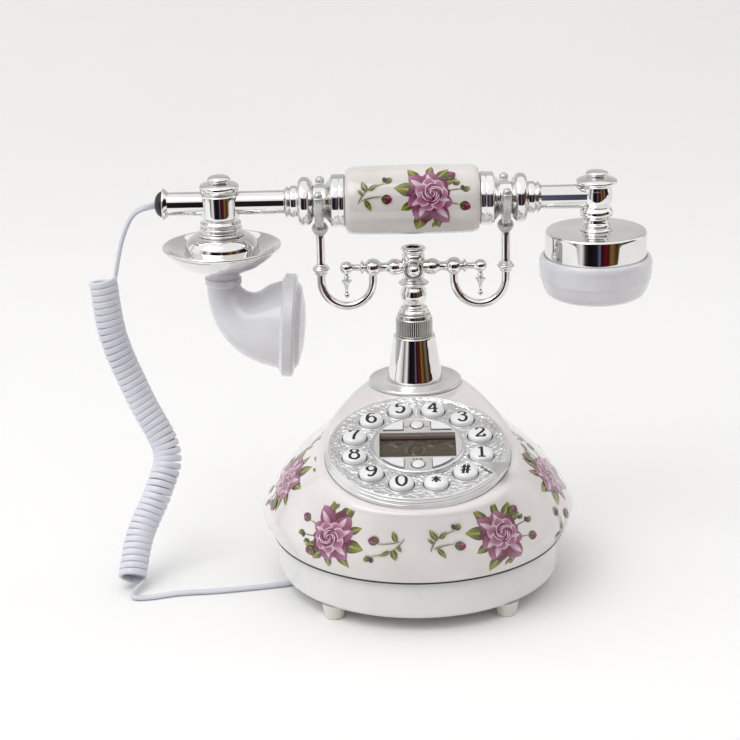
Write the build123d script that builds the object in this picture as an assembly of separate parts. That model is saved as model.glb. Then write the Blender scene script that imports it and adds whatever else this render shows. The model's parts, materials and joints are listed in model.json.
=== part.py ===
"""Pedestal cradle telephone: round base, sloped push-button dial, turned cradle and handset."""
import math
import os

from build123d import *

# Frame: origin on the table under the centre of the round base, +Z up, the dial faces -Y.

# Base tray and feet
FOOT_HEIGHT = 7.5
FOOT_X = 44.5
FOOT_Y = 52.5
FOOT_TOP_RADIUS = 6.2
FOOT_BOTTOM_RADIUS = 5.0
TRAY_RADIUS = 74.5
TRAY_WALL = 2.5
FLOOR_TOP = FOOT_HEIGHT + TRAY_WALL
SEAM_Z = 29.0
TRAY_TOP = 32.0
SCREW_PLACES = [(49.1, 34.4), (-49.1, 34.4), (-59, -24), (59, -24)]
SCREW_SHANK_RADIUS = 1.4
SCREW_HOLE_RADIUS = 1.5
SCREW_HEAD_RADIUS = 3.0
BOARD_X = 84.0
BOARD_Y = 48.0
BOARD_CENTRE_Y = 30.0
BOARD_BOTTOM = 18.0
BOARD_THICKNESS = 1.6
HANDSET_JACK_X = -48.0
HANDSET_JACK_Y = -8.0
LINE_JACK_Y = 65.5
SWITCH_TOP = 34.0

# Body shell: each level is (height, half width, front edge y, back edge y, egg factor)
SHELL_LEVELS = [
    (SEAM_Z, 77.2, -77.2, 77.2, 0.00),
    (41.0, 82.5, -82.5, 82.5, 0.00),
    (53.5, 76.8, -83.8, 80.0, 0.01),
    (68.0, 66.6, -84.4, 74.5, 0.05),
    (82.4, 51.4, -83.4, 69.0, 0.10),
    (96.8, 39.0, -82.4, 64.5, 0.15),
]
SHELL_WALL = 2.5
NECK_TOP = 96.8

# Dial, in its own sloped plane: height is measured from the embossed plate's top face
DIAL_CENTRE_Y = -34.73
DIAL_CENTRE_Z = 85.61
DIAL_TILT = 14.0
DIAL_SEAT = -4.5
BEZEL_RADIUS = 47.6
BEZEL_INNER_RADIUS = 42.8
DIAL_OPENING_RADIUS = 45.0
PLATE_THICKNESS = 1.6
KEY_COUNT = 12
KEY_CIRCLE_RADIUS = 33.4
KEY_RADIUS = 6.15
KEY_HOLE_RADIUS = 6.3
KEY_NAMES = ["2", "3", "4", "5", "6", "7", "8", "9", "0", "star", "hash", "1"]
FRAME_RADIUS = 24.6
FRAME_SPIGOT_RADIUS = 23.3
FRAME_TOP = 2.0
WINDOW_X = 39.1
WINDOW_Y = 21.3
SIDE_KEY_RADIUS = 21.8
SIDE_KEY_NEAR_Y = 12.9
SIDE_KEY_NEAR_X = 7.3
ROUND_KEY_RADIUS = 3.2
ROUND_KEY_Y = 17.4
KEY_CLEARANCE = 0.2

# Pedestal and cradle
PEDESTAL_Y = 37.0
FLANGE_RADIUS = 25.2
FLANGE_TOP = 99.0
CUP_BOTTOM_RADIUS = 15.1
CUP_TOP_RADIUS = 11.3
CUP_TOP = 123.6
KNURL_RADIUS = 9.8
KNURL_TOP = 133.1
COLLAR_TOP = 136.0
ROD_RADIUS = 4.0
RUNNING_CLEARANCE = 0.08
HUB_Z = 161.3
HUB_BOTTOM = 155.2
HUB_RADIUS = 6.2
HUB_TOP = 172.5
ARM_END_X = 35.7
HOOK_TUBE_RADIUS = 2.27
HOOK_INNER_X = 21.6
FORK_X = 49.1
FORK_CENTRE_Z = 204.4
FORK_RADIUS = 17.3
FORK_WIDTH = 5.5
FORK_DEPTH = 4.4

# Handset, along X through the axis height
AXIS_Z = 198.1
NECK_RADIUS = 8.7
GRIP_HALF = 35.4
GRIP_RADIUS = 18.1
FERRULE_RADIUS = 14.2
FERRULE_END = 42.8
DISC_RADIUS = 13.0
TUBE_RADIUS = 6.3
TUBE_START = 67.6
MOUTH_X = -101.5
EAR_X = 97.0
END_X = -131.0
CAP_END_X = -135.8
MOUTH_FACE_RADIUS = 27.8
SAUCER_DROP = 2.4
HORN_DROP = 3.9
HORN_WALL = 2.2
# Horn levels below the handset's axis: (x, z, direction, radius), 0 degrees is straight down
HORN_SECTIONS = [
    (0, -39.6, 0, 8.8),
    (1.2, -46, 12, 10),
    (6, -54, 35, 13.5),
    (14, -60.5, 65, 18.5),
    (25, -63.2, 82, 22.5),
    (31.2, -63.9, 86, 24.2),
]
SOUND_HOLE_RADIUS = 1.1

# Cord
COIL_OUTER_RADIUS = 7.3
CORD_RADIUS = 1.7
COIL_POINTS = [(-165.5, 34, 159), (-161.5, 33, 126), (-149, 31, 92), (-135.5, 24, 64), (-139.5, 13, 46),
               (-149.5, 0, 25), (-152.5, -11, 8.4)]
LEAD_POINTS = [(-151.5, -9, 9), (-152.5, -21, 3.4), (-144, -28.5, 1.8), (-127, -24, 1.8), (-104, -21.5, 1.8),
               (-72, -15, 1.8), (-60, -10.5, 2.4), (-50, -8, 4.6)]
TAIL_POINTS = [(-135.5, PEDESTAL_Y, AXIS_Z), (-146.5, 36.5, 194), (-155, 35.5, 176), (-160.5, 34.5, 161)]

DIAL = Plane(
    origin=(0, DIAL_CENTRE_Y, DIAL_CENTRE_Z),
    x_dir=(1, 0, 0),
    z_dir=(0, -math.sin(math.radians(DIAL_TILT)), math.cos(math.radians(DIAL_TILT))),
)
MOUTH_PLANE = Plane(
    origin=(31.2, 0, -63.9),
    x_dir=(0, 1, 0),
    z_dir=(math.cos(math.radians(4)), 0, -math.sin(math.radians(4))),
)
PEDESTAL = Pos(0, PEDESTAL_Y, 0)
LOW = (Align.CENTER, Align.CENTER, Align.MIN)
parts = {}


def turned(profile):
    """Solid turned about +Z from a closed outline of (radius, height) points."""
    outline = Polyline(*[(radius, 0, height) for radius, height in profile], close=True)
    return revolve(make_face(outline), Axis.Z)


def turned_along_x(profile):
    """Solid turned about the handset's axis from (radius, x) points."""
    return Pos(0, PEDESTAL_Y, AXIS_Z) * Rot(0, 90, 0) * turned(profile)


def tube(inner, outer, bottom, top):
    """Straight ring between two heights."""
    return turned([(inner, bottom), (outer, bottom), (outer, top), (inner, top)])


def rod(radius, bottom, top):
    """Straight round bar between two heights."""
    return Pos(0, 0, bottom) * Cylinder(radius, top - bottom, align=LOW)


def block(size_x, size_y, bottom, top):
    """Box centred on the Z axis between two heights."""
    return Pos(0, 0, bottom) * Box(size_x, size_y, top - bottom, align=LOW)


def mirrored(shape):
    """The shape and its mirror image across the YZ plane, as one group of solids."""
    return Compound([*shape.solids(), *mirror(shape, about=Plane.YZ).solids()])


def shell_section(level, inset):
    """Egg-shaped horizontal section of the body, wider towards the dial."""
    height, half_width, front, back, egg = level
    centre_y = (front + back) / 2
    half_depth = (back - front) / 2 - inset
    steps = 24
    points = []
    for step in range(steps):
        angle = 2 * math.pi * step / steps
        x = (half_width - inset) * math.cos(angle) * (1 - egg * math.sin(angle))
        points.append((x, centre_y + half_depth * math.sin(angle), height))
    return make_face(Spline(*points, periodic=True))


def shell_dome(inset):
    """Closed dome through all the levels, moved inwards by the inset."""
    return loft([shell_section(level, inset) for level in SHELL_LEVELS])


def above_dial(height):
    """Everything above a plane parallel to the dial."""
    return DIAL * block(260, 260, height, height + 90)


def screw_posts():
    """Posts that take the case screws, from above the tray up into the shell's wall."""
    post = tube(SCREW_HOLE_RADIUS, 4.5, TRAY_TOP + 0.5, 90)
    return [Pos(x, y, 0) * post for x, y in SCREW_PLACES]


def body_shell():
    """Hollow body with a dial opening and a raised seat under the pedestal flange."""
    solid_dome = shell_dome(0)
    neck = PEDESTAL * turned(
        [(0, 80), (36, 80), (36, 87), (31, 90.2), (28, 93.2), (26.2, NECK_TOP), (0, NECK_TOP)]
    )
    outer = solid_dome - above_dial(DIAL_SEAT) + (neck & solid_dome)
    outer -= DIAL * rod(BEZEL_RADIUS + 0.3, DIAL_SEAT, 20)
    cavity = shell_dome(SHELL_WALL) - above_dial(DIAL_SEAT - SHELL_WALL)
    cavity -= block(260, 260, NECK_TOP - SHELL_WALL, NECK_TOP + 20)
    shell = outer - cavity
    for post in screw_posts():
        shell += post & outer
    shell -= DIAL * rod(DIAL_OPENING_RADIUS, DIAL_SEAT - 12, 10)
    shell -= PEDESTAL * rod(8.2, 85, NECK_TOP + 5)
    return shell


def base_plate():
    """Round tray with screw columns, board posts and openings for both jacks."""
    outer = rod(TRAY_RADIUS, FOOT_HEIGHT, TRAY_TOP)
    outer = fillet(outer.edges().group_by(Axis.Z)[0], 3.0)
    tray = outer - rod(TRAY_RADIUS - TRAY_WALL, FLOOR_TOP, TRAY_TOP + 1)
    for x, y in SCREW_PLACES:
        tray += Pos(x, y, 0) * rod(5.0, FLOOR_TOP, TRAY_TOP)
        tray -= Pos(x, y, 0) * rod(SCREW_HOLE_RADIUS + 0.1, FOOT_HEIGHT - 1, TRAY_TOP + 1)
        tray -= Pos(x, y, 0) * rod(SCREW_HEAD_RADIUS + 0.3, FOOT_HEIGHT - 1, FLOOR_TOP)
    for x in (-38, 38):
        for y in (BOARD_CENTRE_Y - 20, BOARD_CENTRE_Y + 20):
            tray += Pos(x, y, 0) * rod(2.5, FLOOR_TOP, BOARD_BOTTOM)
    tray -= Pos(HANDSET_JACK_X, HANDSET_JACK_Y, 0) * block(8, 10, FOOT_HEIGHT - 1, FLOOR_TOP)
    tray -= Pos(0, TRAY_RADIUS, 0) * block(11, 10, 12, 21)
    return tray


def foot_group():
    """Four tapered feet under the tray."""
    foot = turned(
        [(0, 0), (FOOT_BOTTOM_RADIUS - 0.6, 0), (FOOT_BOTTOM_RADIUS, 0.6),
         (FOOT_TOP_RADIUS, FOOT_HEIGHT), (0, FOOT_HEIGHT)]
    )
    return Compound([Pos(x, y, 0) * foot for x in (-FOOT_X, FOOT_X) for y in (-FOOT_Y, FOOT_Y)])


def screw_group():
    """Pan-head screws from the tray's underside into the shell's posts."""
    screw = rod(SCREW_HEAD_RADIUS, FOOT_HEIGHT + 0.5, FLOOR_TOP)
    screw += rod(SCREW_SHANK_RADIUS, FLOOR_TOP, 42)
    screw -= Pos(0, 0, FOOT_HEIGHT) * block(3.6, 0.8, 0, 1.6)
    screw -= Pos(0, 0, FOOT_HEIGHT) * block(0.8, 3.6, 0, 1.6)
    return Compound([Pos(x, y, 0) * screw for x, y in SCREW_PLACES])


def jack_group():
    """Modular sockets: one faces down for the handset cord, one faces back for the line."""
    handset_jack = block(12, 14, FLOOR_TOP, 22) - block(6.4, 8.4, FLOOR_TOP - 1, 19)
    line_jack = block(13, 12, 10, 23) - Pos(0, 2, 0) * block(9.8, 9, 13, 20.5)
    return Compound(
        [Pos(HANDSET_JACK_X, HANDSET_JACK_Y, 0) * handset_jack, Pos(0, LINE_JACK_Y, 0) * line_jack]
    )


def internals():
    """Board, weight, ringer and the switch under the cradle's rod."""
    board_top = BOARD_BOTTOM + BOARD_THICKNESS
    parts["main_circuit_board"] = Pos(0, BOARD_CENTRE_Y, 0) * block(
        BOARD_X, BOARD_Y, BOARD_BOTTOM, board_top
    )
    parts["ballast_weight"] = Pos(0, BOARD_CENTRE_Y, 0) * block(60, 34, FLOOR_TOP, 15)
    parts["ringer_speaker"] = Pos(0, -38, 0) * turned(
        [(0, FLOOR_TOP), (20, FLOOR_TOP), (20, 13), (13, 18), (8, 22), (0, 22)]
    )
    parts["hook_switch"] = PEDESTAL * block(16, 12, board_top, SWITCH_TOP)


def dial_plate():
    """Embossed annulus with a round hole for each number key."""
    plate = tube(FRAME_SPIGOT_RADIUS + 0.1, BEZEL_INNER_RADIUS - 0.1, -PLATE_THICKNESS, 0)
    for x, y in key_places():
        plate -= Pos(x, y, 0) * rod(KEY_HOLE_RADIUS, -5, 5)
    return DIAL * plate


def key_places():
    """Centres of the number keys, counter-clockwise from the 2 key."""
    places = []
    for index in range(KEY_COUNT):
        angle = math.radians(15 + 30 * index)
        places.append((KEY_CIRCLE_RADIUS * math.cos(angle), KEY_CIRCLE_RADIUS * math.sin(angle)))
    return places


def number_key():
    """Domed button with a retaining flange below the plate."""
    flange = KEY_RADIUS + 0.75
    return turned(
        [(0, -3), (flange, -3), (flange, -1.8), (KEY_RADIUS, -1.8), (KEY_RADIUS, 1.5),
         (5.75, 2.3), (4.8, 3.0), (3.2, 3.5), (1.6, 3.75), (0, 3.8)]
    )


def side_key_outline(grow):
    """Fan-shaped area between the window and the frame's rim, right of the round key."""
    disc = rod(SIDE_KEY_RADIUS + grow, -10, 10)
    area = Pos(SIDE_KEY_NEAR_X - grow + 15, SIDE_KEY_NEAR_Y - grow + 10, 0) * Box(30, 20, 40)
    return disc & area


def function_keys():
    """Four fan-shaped keys and two round ones around the display."""
    side = (side_key_outline(0) & block(60, 60, -3, 2.9)) + (side_key_outline(0.5) & block(60, 60, -3, -1.8))
    round_key = turned(
        [(0, -3), (ROUND_KEY_RADIUS + 0.5, -3), (ROUND_KEY_RADIUS + 0.5, -1.8), (ROUND_KEY_RADIUS, -1.8),
         (ROUND_KEY_RADIUS, 2.4), (2.2, 3.1), (0, 3.3)]
    )
    left_side = mirror(side, about=Plane.YZ)
    parts["key_top_right"] = DIAL * side
    parts["key_top_left"] = DIAL * left_side
    parts["key_bottom_right"] = DIAL * mirror(side, about=Plane.XZ)
    parts["key_bottom_left"] = DIAL * mirror(left_side, about=Plane.XZ)
    parts["key_top_round"] = DIAL * Pos(0, ROUND_KEY_Y, 0) * round_key
    parts["key_bottom_round"] = DIAL * Pos(0, -ROUND_KEY_Y, 0) * round_key


def display_frame():
    """Raised disc that frames the display window and guides the function keys."""
    frame = turned(
        [(0, -PLATE_THICKNESS), (FRAME_SPIGOT_RADIUS, -PLATE_THICKNESS), (FRAME_SPIGOT_RADIUS, 0),
         (FRAME_RADIUS, 0), (FRAME_RADIUS, 1.2), (FRAME_RADIUS - 0.8, FRAME_TOP), (0, FRAME_TOP)]
    )
    frame -= block(WINDOW_X, WINDOW_Y, -5, 5)
    opening = side_key_outline(KEY_CLEARANCE)
    opening += mirror(opening, about=Plane.YZ)
    frame -= opening
    frame -= mirror(opening, about=Plane.XZ)
    for side in (-1, 1):
        frame -= Pos(0, side * ROUND_KEY_Y, 0) * rod(ROUND_KEY_RADIUS + KEY_CLEARANCE, -5, 5)
        frame += Pos(side * 5.2, ROUND_KEY_Y, 0) * block(2.0, 3.2, FRAME_TOP, FRAME_TOP + 0.5)
    return DIAL * frame


def dial_parts():
    """Everything mounted in the sloped opening."""
    parts["dial_plate"] = dial_plate()
    parts["dial_bezel"] = DIAL * turned(
        [(BEZEL_INNER_RADIUS, -7.6), (44.8, -7.6), (44.8, DIAL_SEAT), (BEZEL_RADIUS, DIAL_SEAT),
         (BEZEL_RADIUS, -3.2), (46.8, -2.3), (46.2, -2.2), (45.9, 0), (45, 0.7), (44.6, 1.3),
         (BEZEL_INNER_RADIUS, 1.3)]
    )
    blade = make_face(Polyline((29.5, -16), (45.6, -17.6), (45.2, -21.5), (40.3, -28.5), close=True))
    parts["finger_stop"] = DIAL * Pos(0, 0, 1.3) * extrude(blade, 1.0)
    parts["display_frame"] = display_frame()
    parts["lcd_window"] = DIAL * block(WINDOW_X - 0.2, WINDOW_Y - 0.2, -1.6, -0.4)
    parts["lcd_module"] = DIAL * block(42, 24.6, -4.7, -1.7)
    parts["keypad_membrane"] = DIAL * rod(41, -5.6, -4.7)
    parts["keypad_circuit_board"] = DIAL * rod(41, -7.2, -5.6)
    for name, (x, y) in zip(KEY_NAMES, key_places()):
        parts["key_" + name] = DIAL * Pos(x, y, 0) * number_key()
    function_keys()


def pedestal_parts():
    """Fixed flange, cup and knurled collar, bored for the cradle's rod."""
    bore = ROD_RADIUS + RUNNING_CLEARANCE
    parts["top_flange"] = PEDESTAL * turned(
        [(bore, NECK_TOP), (FLANGE_RADIUS, NECK_TOP), (FLANGE_RADIUS, 98.2), (24.4, 98.9),
         (23.4, 98.4), (17, 98.4), (16, FLANGE_TOP), (bore, FLANGE_TOP)]
    )
    parts["pedestal_cup"] = PEDESTAL * turned(
        [(9, FLANGE_TOP), (CUP_BOTTOM_RADIUS, FLANGE_TOP), (13.2, 110), (CUP_TOP_RADIUS, CUP_TOP - 0.8),
         (CUP_TOP_RADIUS - 0.6, CUP_TOP), (bore, CUP_TOP), (bore, CUP_TOP - 2.5), (9, CUP_TOP - 2.5)]
    )
    parts["knurled_collar"] = PEDESTAL * turned(
        [(bore, CUP_TOP), (9.2, CUP_TOP), (KNURL_RADIUS, CUP_TOP + 0.6), (KNURL_RADIUS, KNURL_TOP),
         (8.6, COLLAR_TOP - 0.4), (8.0, COLLAR_TOP), (bore, COLLAR_TOP)]
    )


def cradle_stem():
    """Sliding rod with its spring shoulder inside the cup and a turned barrel above the collar."""
    return PEDESTAL * turned(
        [(0, SWITCH_TOP + 0.2), (2.5, SWITCH_TOP + 0.2), (2.5, 96), (ROD_RADIUS, 96), (ROD_RADIUS, 113),
         (7.2, 113), (7.2, 115), (ROD_RADIUS, 115), (ROD_RADIUS, COLLAR_TOP), (8.0, COLLAR_TOP),
         (8.2, 137), (7.2, 138.4), (7.2, 139.2), (5.6, 140), (6.4, 142), (7.3, 145.5), (6.6, 149),
         (5.6, 151), (8.0, 152), (8.2, 153.0), (6.2, 153.8), (5.2, HUB_BOTTOM), (0, HUB_BOTTOM)]
    )


def cradle_hub():
    """Upright hub with a hollow top and a socket for each arm and for the front ball."""
    hub = turned(
        [(0, HUB_BOTTOM), (5.2, HUB_BOTTOM), (HUB_RADIUS, 157.0), (HUB_RADIUS, 168), (5.4, 169), (6.6, 170.6),
         (6.6, 171.6), (5.4, HUB_TOP), (3.6, HUB_TOP), (3.6, 166), (0, 166)]
    )
    hub += Pos(0, -3.6, HUB_Z) * Rot(90, 0, 0) * Cylinder(6.0, 7.2)
    hub -= Pos(0, -7.3, HUB_Z) * Rot(90, 0, 0) * Cylinder(4.2, 2.4)
    return PEDESTAL * hub


def cradle_arms():
    """Turned arms with a bulb, a ball, a disc and an end ball on each side."""
    arm = turned(
        [(0, 6.3), (3.4, 6.3), (4.5, 10.3), (3.0, 13.6), (2.4, 14.2), (2.4, 17.2), (3.6, 18.6),
         (4.8, 21.6), (3.6, 24.6), (1.8, 25.6), (3.2, 26.6), (3.7, 27.3), (3.2, 28.0), (1.75, 28.8),
         (1.75, 32.6), (2.7, 33.5), (3.5, ARM_END_X), (2.6, 38.2), (0, 39.3)]
    )
    right = Pos(0, PEDESTAL_Y, HUB_Z) * Rot(0, 90, 0) * arm
    socket = PEDESTAL * Pos(0, 0, HUB_Z) * Rot(0, 90, 0) * Cylinder(HUB_RADIUS + 0.05, 1)
    return mirrored(right - cradle_hub() - socket)


def cradle_hooks():
    """J-shaped tubes from under each arm's ball out and up to the fork."""
    radius = (FORK_X - HOOK_INNER_X) / 2
    centre_x = (FORK_X + HOOK_INNER_X) / 2
    bend_z = 153.9
    path = Line((HOOK_INNER_X, 0, 156.4), (HOOK_INNER_X, 0, bend_z))
    path += ThreePointArc((HOOK_INNER_X, 0, bend_z), (centre_x, 0, bend_z - radius), (FORK_X, 0, bend_z))
    path += Line((FORK_X, 0, bend_z), (FORK_X, 0, 160))
    hook = sweep(Plane((HOOK_INNER_X, 0, 156.4), z_dir=(0, 0, -1)) * Circle(HOOK_TUBE_RADIUS), path=path)
    upright = turned(
        [(0, 158.5), (3.4, 158.5), (3.7, 159.6), (4.75, 161), (3.7, 162.6), (2.4, 163.4),
         (2.4, 180), (0, 180)]
    )
    return mirrored(PEDESTAL * (hook + Pos(FORK_X, 0, 0) * upright))


def cradle_forks():
    """U-shaped forks that carry the handset's necks, each on a beaded crown."""
    crown = turned([(0, 180), (2.8, 180), (4.2, 182.6), (4.3, 184), (3.4, 186), (0, 186)])
    ring = Rot(0, 90, 0) * tube(FORK_RADIUS - FORK_DEPTH / 2, FORK_RADIUS + FORK_DEPTH / 2,
                                -FORK_WIDTH / 2, FORK_WIDTH / 2)
    half_ring = Pos(0, 0, FORK_CENTRE_Z) * (ring & block(60, 60, -40, 0))
    tips = [Pos(0, side * FORK_RADIUS, FORK_CENTRE_Z + 0.4) * Sphere(2.4) for side in (-1, 1)]
    fork = crown + half_ring + tips[0] + tips[1]
    fork -= Pos(0, 0, FORK_CENTRE_Z) * Rot(0, 90, 0) * Cylinder(FORK_RADIUS - FORK_DEPTH / 2, 30)
    return mirrored(PEDESTAL * Pos(FORK_X, 0, 0) * fork)


def cradle_pendants():
    """Small turned drops under the arms' end balls."""
    top = HUB_Z - 3.5
    drop = turned(
        [(0, top - 13.2), (1.0, top - 12.9), (1.45, top - 11.9), (0.8, top - 10.7), (0.8, top - 8),
         (2.9, top - 3.6), (1.0, top - 3.0), (1.6, top - 1.6), (0.9, top), (0, top)]
    )
    return mirrored(PEDESTAL * Pos(ARM_END_X, 0, -0.1) * drop)


def cradle_parts():
    """Pieces that rise together when the handset is lifted off."""
    parts["cradle_stem"] = cradle_stem()
    parts["return_spring"] = PEDESTAL * tube(ROD_RADIUS + 0.3, 6.6, FLANGE_TOP + 0.1, 112.9)
    parts["cradle_hub"] = cradle_hub()
    parts["hub_ball"] = Pos(0, PEDESTAL_Y - 7.0, HUB_Z) * Sphere(3.7) - parts["cradle_hub"]
    parts["cradle_arms"] = cradle_arms()
    parts["cradle_hooks"] = cradle_hooks() - parts["cradle_arms"]
    parts["cradle_forks"] = cradle_forks()
    parts["cradle_pendants"] = cradle_pendants()


def handset_bar():
    """Grip, ferrules, collars and the through tube, all turned about one axis."""
    inner = TUBE_RADIUS
    parts["handset_tube"] = turned_along_x(
        [(4.8, END_X + 1.5), (inner, END_X + 1.5), (inner, EAR_X), (4.8, EAR_X)]
    )
    parts["grip_sleeve"] = turned_along_x(
        [(inner, -GRIP_HALF), (15.2, -GRIP_HALF), (17.2, -GRIP_HALF + 1.6), (GRIP_RADIUS, -GRIP_HALF + 6),
         (GRIP_RADIUS + 0.3, 0), (GRIP_RADIUS, GRIP_HALF - 6), (17.2, GRIP_HALF - 1.6), (15.2, GRIP_HALF),
         (inner, GRIP_HALF)]
    )
    parts["grip_ferrules"] = mirrored(turned_along_x(
        [(inner, GRIP_HALF), (FERRULE_RADIUS - 0.5, GRIP_HALF), (FERRULE_RADIUS, 36.2),
         (FERRULE_RADIUS, 42), (FERRULE_RADIUS - 0.7, FERRULE_END), (10.6, 44.4), (NECK_RADIUS, 46.2),
         (NECK_RADIUS, 52.4), (inner, 52.4)]
    ))
    parts["neck_collars"] = mirrored(turned_along_x(
        [(inner, 52.4), (9.6, 52.4), (11.6, 53.6), (DISC_RADIUS, 55.6), (DISC_RADIUS, 58.4), (11.4, 60.4),
         (8.4, 61), (8.5, 61.6), (8.5, 64), (7.4, 65), (8.4, 65.6), (6.8, TUBE_START), (inner, TUBE_START)]
    ))
    parts["tube_end_cap"] = turned_along_x(
        [(2.2, CAP_END_X), (4.2, CAP_END_X + 0.5), (6.3, CAP_END_X + 2.6), (6.9, END_X - 0.9),
         (8.4, END_X - 0.9), (8.4, END_X), (6.9, END_X + 1.5), (2.2, END_X + 1.5)]
    )


def mouth_parts():
    """Post, saucer and horn at the mouthpiece end, hung below the tube."""
    place = Pos(MOUTH_X, PEDESTAL_Y, AXIS_Z)
    post = turned(
        [(0, -19.9), (11.4, -19.9), (12.0, -18.8), (10.4, -18.0), (10.2, -14.9), (10.7, -13.4),
         (9.8, -12.2), (10.7, -10.6), (9.6, -8.6), (10.3, -6.4), (10.3, 4.8), (8.9, 5.6), (9.2, 6.6),
         (10.0, 7.6), (10.6, 9.1), (9.4, 10.5), (6.4, 11.2), (5.4, 11.6), (6.2, 12.6), (5.2, 14.3),
         (0, 15.2)]
    )
    bar = Rot(0, 90, 0) * Cylinder(TUBE_RADIUS, 60)
    parts["mouth_post"] = place * (post - bar)
    parts["mouth_saucer"] = place * Pos(0, 0, -SAUCER_DROP) * turned(
        [(0, -34.4), (10.4, -34.4), (15, -33.6), (24, -32), (29, -29.5), (31.4, -26.8), (31.2, -25.6),
         (30.4, -25.9), (24, -28.4), (16.6, -28.6), (15.8, -28), (15.8, -27.2), (17.4, -26.6),
         (17.0, -23.4), (14.6, -19), (12.4, -17.5), (0, -17.5)]
    )
    parts["mouth_horn"] = place * Pos(0, 0, -HORN_DROP) * mouth_horn()


def horn_section(centre_x, centre_z, angle, radius):
    """Round section of the horn; angle 0 looks straight down and 90 looks along +X."""
    turn = math.radians(angle)
    plane = Plane((centre_x, 0, centre_z), x_dir=(0, 1, 0), z_dir=(math.sin(turn), 0, -math.cos(turn)))
    return plane * Circle(radius)


def mouth_horn():
    """Curved horn from a spigot under the saucer to a flanged, domed mouth."""
    spigot = turned(
        [(0, -40.6), (9.3, -40.6), (9.8, -39.8), (9.8, -36.8), (8.9, -36.2), (8.9, -32.9), (0, -32.9)]
    )
    bend = loft([horn_section(*section) for section in HORN_SECTIONS])
    inner_sections = [(x, z, angle, radius - HORN_WALL) for x, z, angle, radius in HORN_SECTIONS[1:]]
    hollow = loft([horn_section(*section) for section in inner_sections])
    mouth = turned(
        [(0, -1.2), (24.9, -1.2), (MOUTH_FACE_RADIUS, 0.4), (MOUTH_FACE_RADIUS, 5), (26.6, 6.4), (23.5, 7),
         (21, 9.2), (12, 11.2), (0, 12)]
    )
    mouth_hollow = turned([(0, -1.6), (21.6, -1.6), (21.6, 5), (18, 7.6), (11.5, 9.6), (0, 10.3)])
    sound_holes = [Pos(x, y, 8) * Cylinder(SOUND_HOLE_RADIUS, 12) for x, y in sound_hole_places()]
    horn = spigot + bend + MOUTH_PLANE * mouth - hollow - MOUTH_PLANE * mouth_hollow
    for hole in sound_holes:
        horn -= MOUTH_PLANE * hole
    return horn


def sound_hole_places():
    """One centre hole and a ring of six."""
    ring = [math.radians(60 * step) for step in range(6)]
    return [(0, 0)] + [(6 * math.cos(angle), 6 * math.sin(angle)) for angle in ring]


def ear_parts():
    """Post, metal drum and moulded cap at the earpiece end."""
    place = Pos(EAR_X, PEDESTAL_Y, AXIS_Z)
    post = turned(
        [(0, -18.3), (8.6, -18.3), (8.4, -17.4), (7.4, -16.6), (7.7, -15.4), (6.6, -14), (6.6, -11.4),
         (8.4, -10.4), (8.9, -8.8), (8.6, -6.8), (7.4, -5.6), (8.3, -2), (8.3, 2.6), (7.4, 4.8),
         (7.4, 6.2), (10, 6.9), (11, 7.9), (10.2, 9.1), (7, 10.4), (4.9, 10.9), (6.1, 11.9), (5.4, 13.2),
         (0, 14)]
    )
    bar = Pos(-30, 0, 0) * Rot(0, 90, 0) * Cylinder(TUBE_RADIUS, 60)
    parts["ear_post"] = place * (post - bar)
    parts["ear_drum"] = place * turned(
        [(0, -18.3), (26.2, -18.3), (27.0, -19.1), (27.0, -32.8), (25, -32.8), (25, -20.3), (0, -20.3)]
    )
    cap = turned(
        [(24.9, -32.8), (28.0, -32.8), (29.3, -35.6), (29.8, -39.4), (29.3, -44.5), (27.6, -49.6),
         (24, -53.2), (15, -55.1), (0, -55.6), (0, -53.4), (23, -50.8), (24.9, -47)]
    )
    for x, y in sound_hole_places():
        cap -= Pos(x, y, 0) * rod(SOUND_HOLE_RADIUS, -60, -50)
    parts["ear_cap"] = place * cap


def voice_capsules():
    """Microphone behind the horn's face and receiver inside the ear cap."""
    microphone = Pos(MOUTH_X, PEDESTAL_Y, AXIS_Z - HORN_DROP) * (MOUTH_PLANE * rod(10, 2, 8))
    receiver = Pos(EAR_X, PEDESTAL_Y, AXIS_Z) * turned([(0, -50), (19, -50), (19, -44), (8, -40), (0, -40)])
    return Compound([microphone, receiver])


def path_tube(points, radius):
    """Round tube along a smooth curve through the points."""
    path = Spline(*points)
    return sweep(Plane(path @ 0, z_dir=path % 0) * Circle(radius), path=path)


def cord_parts():
    """Wound cord from the handset's end down to the table, and its lead to the base."""
    coil = path_tube(COIL_POINTS, COIL_OUTER_RADIUS)
    lead = path_tube(LEAD_POINTS, CORD_RADIUS)
    plug = Pos(HANDSET_JACK_X, HANDSET_JACK_Y, 0) * block(6, 8, 3.6, 17)
    parts["coiled_cord"] = coil + lead + plug
    parts["cord_tail"] = path_tube(TAIL_POINTS, CORD_RADIUS)


def build():
    """Make every piece and write one STEP file for each."""
    parts["body_shell"] = body_shell()
    parts["base_plate"] = base_plate()
    parts["feet"] = foot_group()
    parts["case_screws"] = screw_group()
    parts["modular_jacks"] = jack_group()
    internals()
    dial_parts()
    pedestal_parts()
    cradle_parts()
    handset_bar()
    mouth_parts()
    ear_parts()
    parts["voice_capsules"] = voice_capsules()
    cord_parts()
    os.makedirs("parts", exist_ok=True)
    for name, shape in parts.items():
        export_step(shape, "parts/" + name + ".step")


build()
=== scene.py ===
"""Looks of the pedestal cradle telephone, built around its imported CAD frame."""

import json
import math

import bpy
from mathutils import Matrix, Vector


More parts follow.
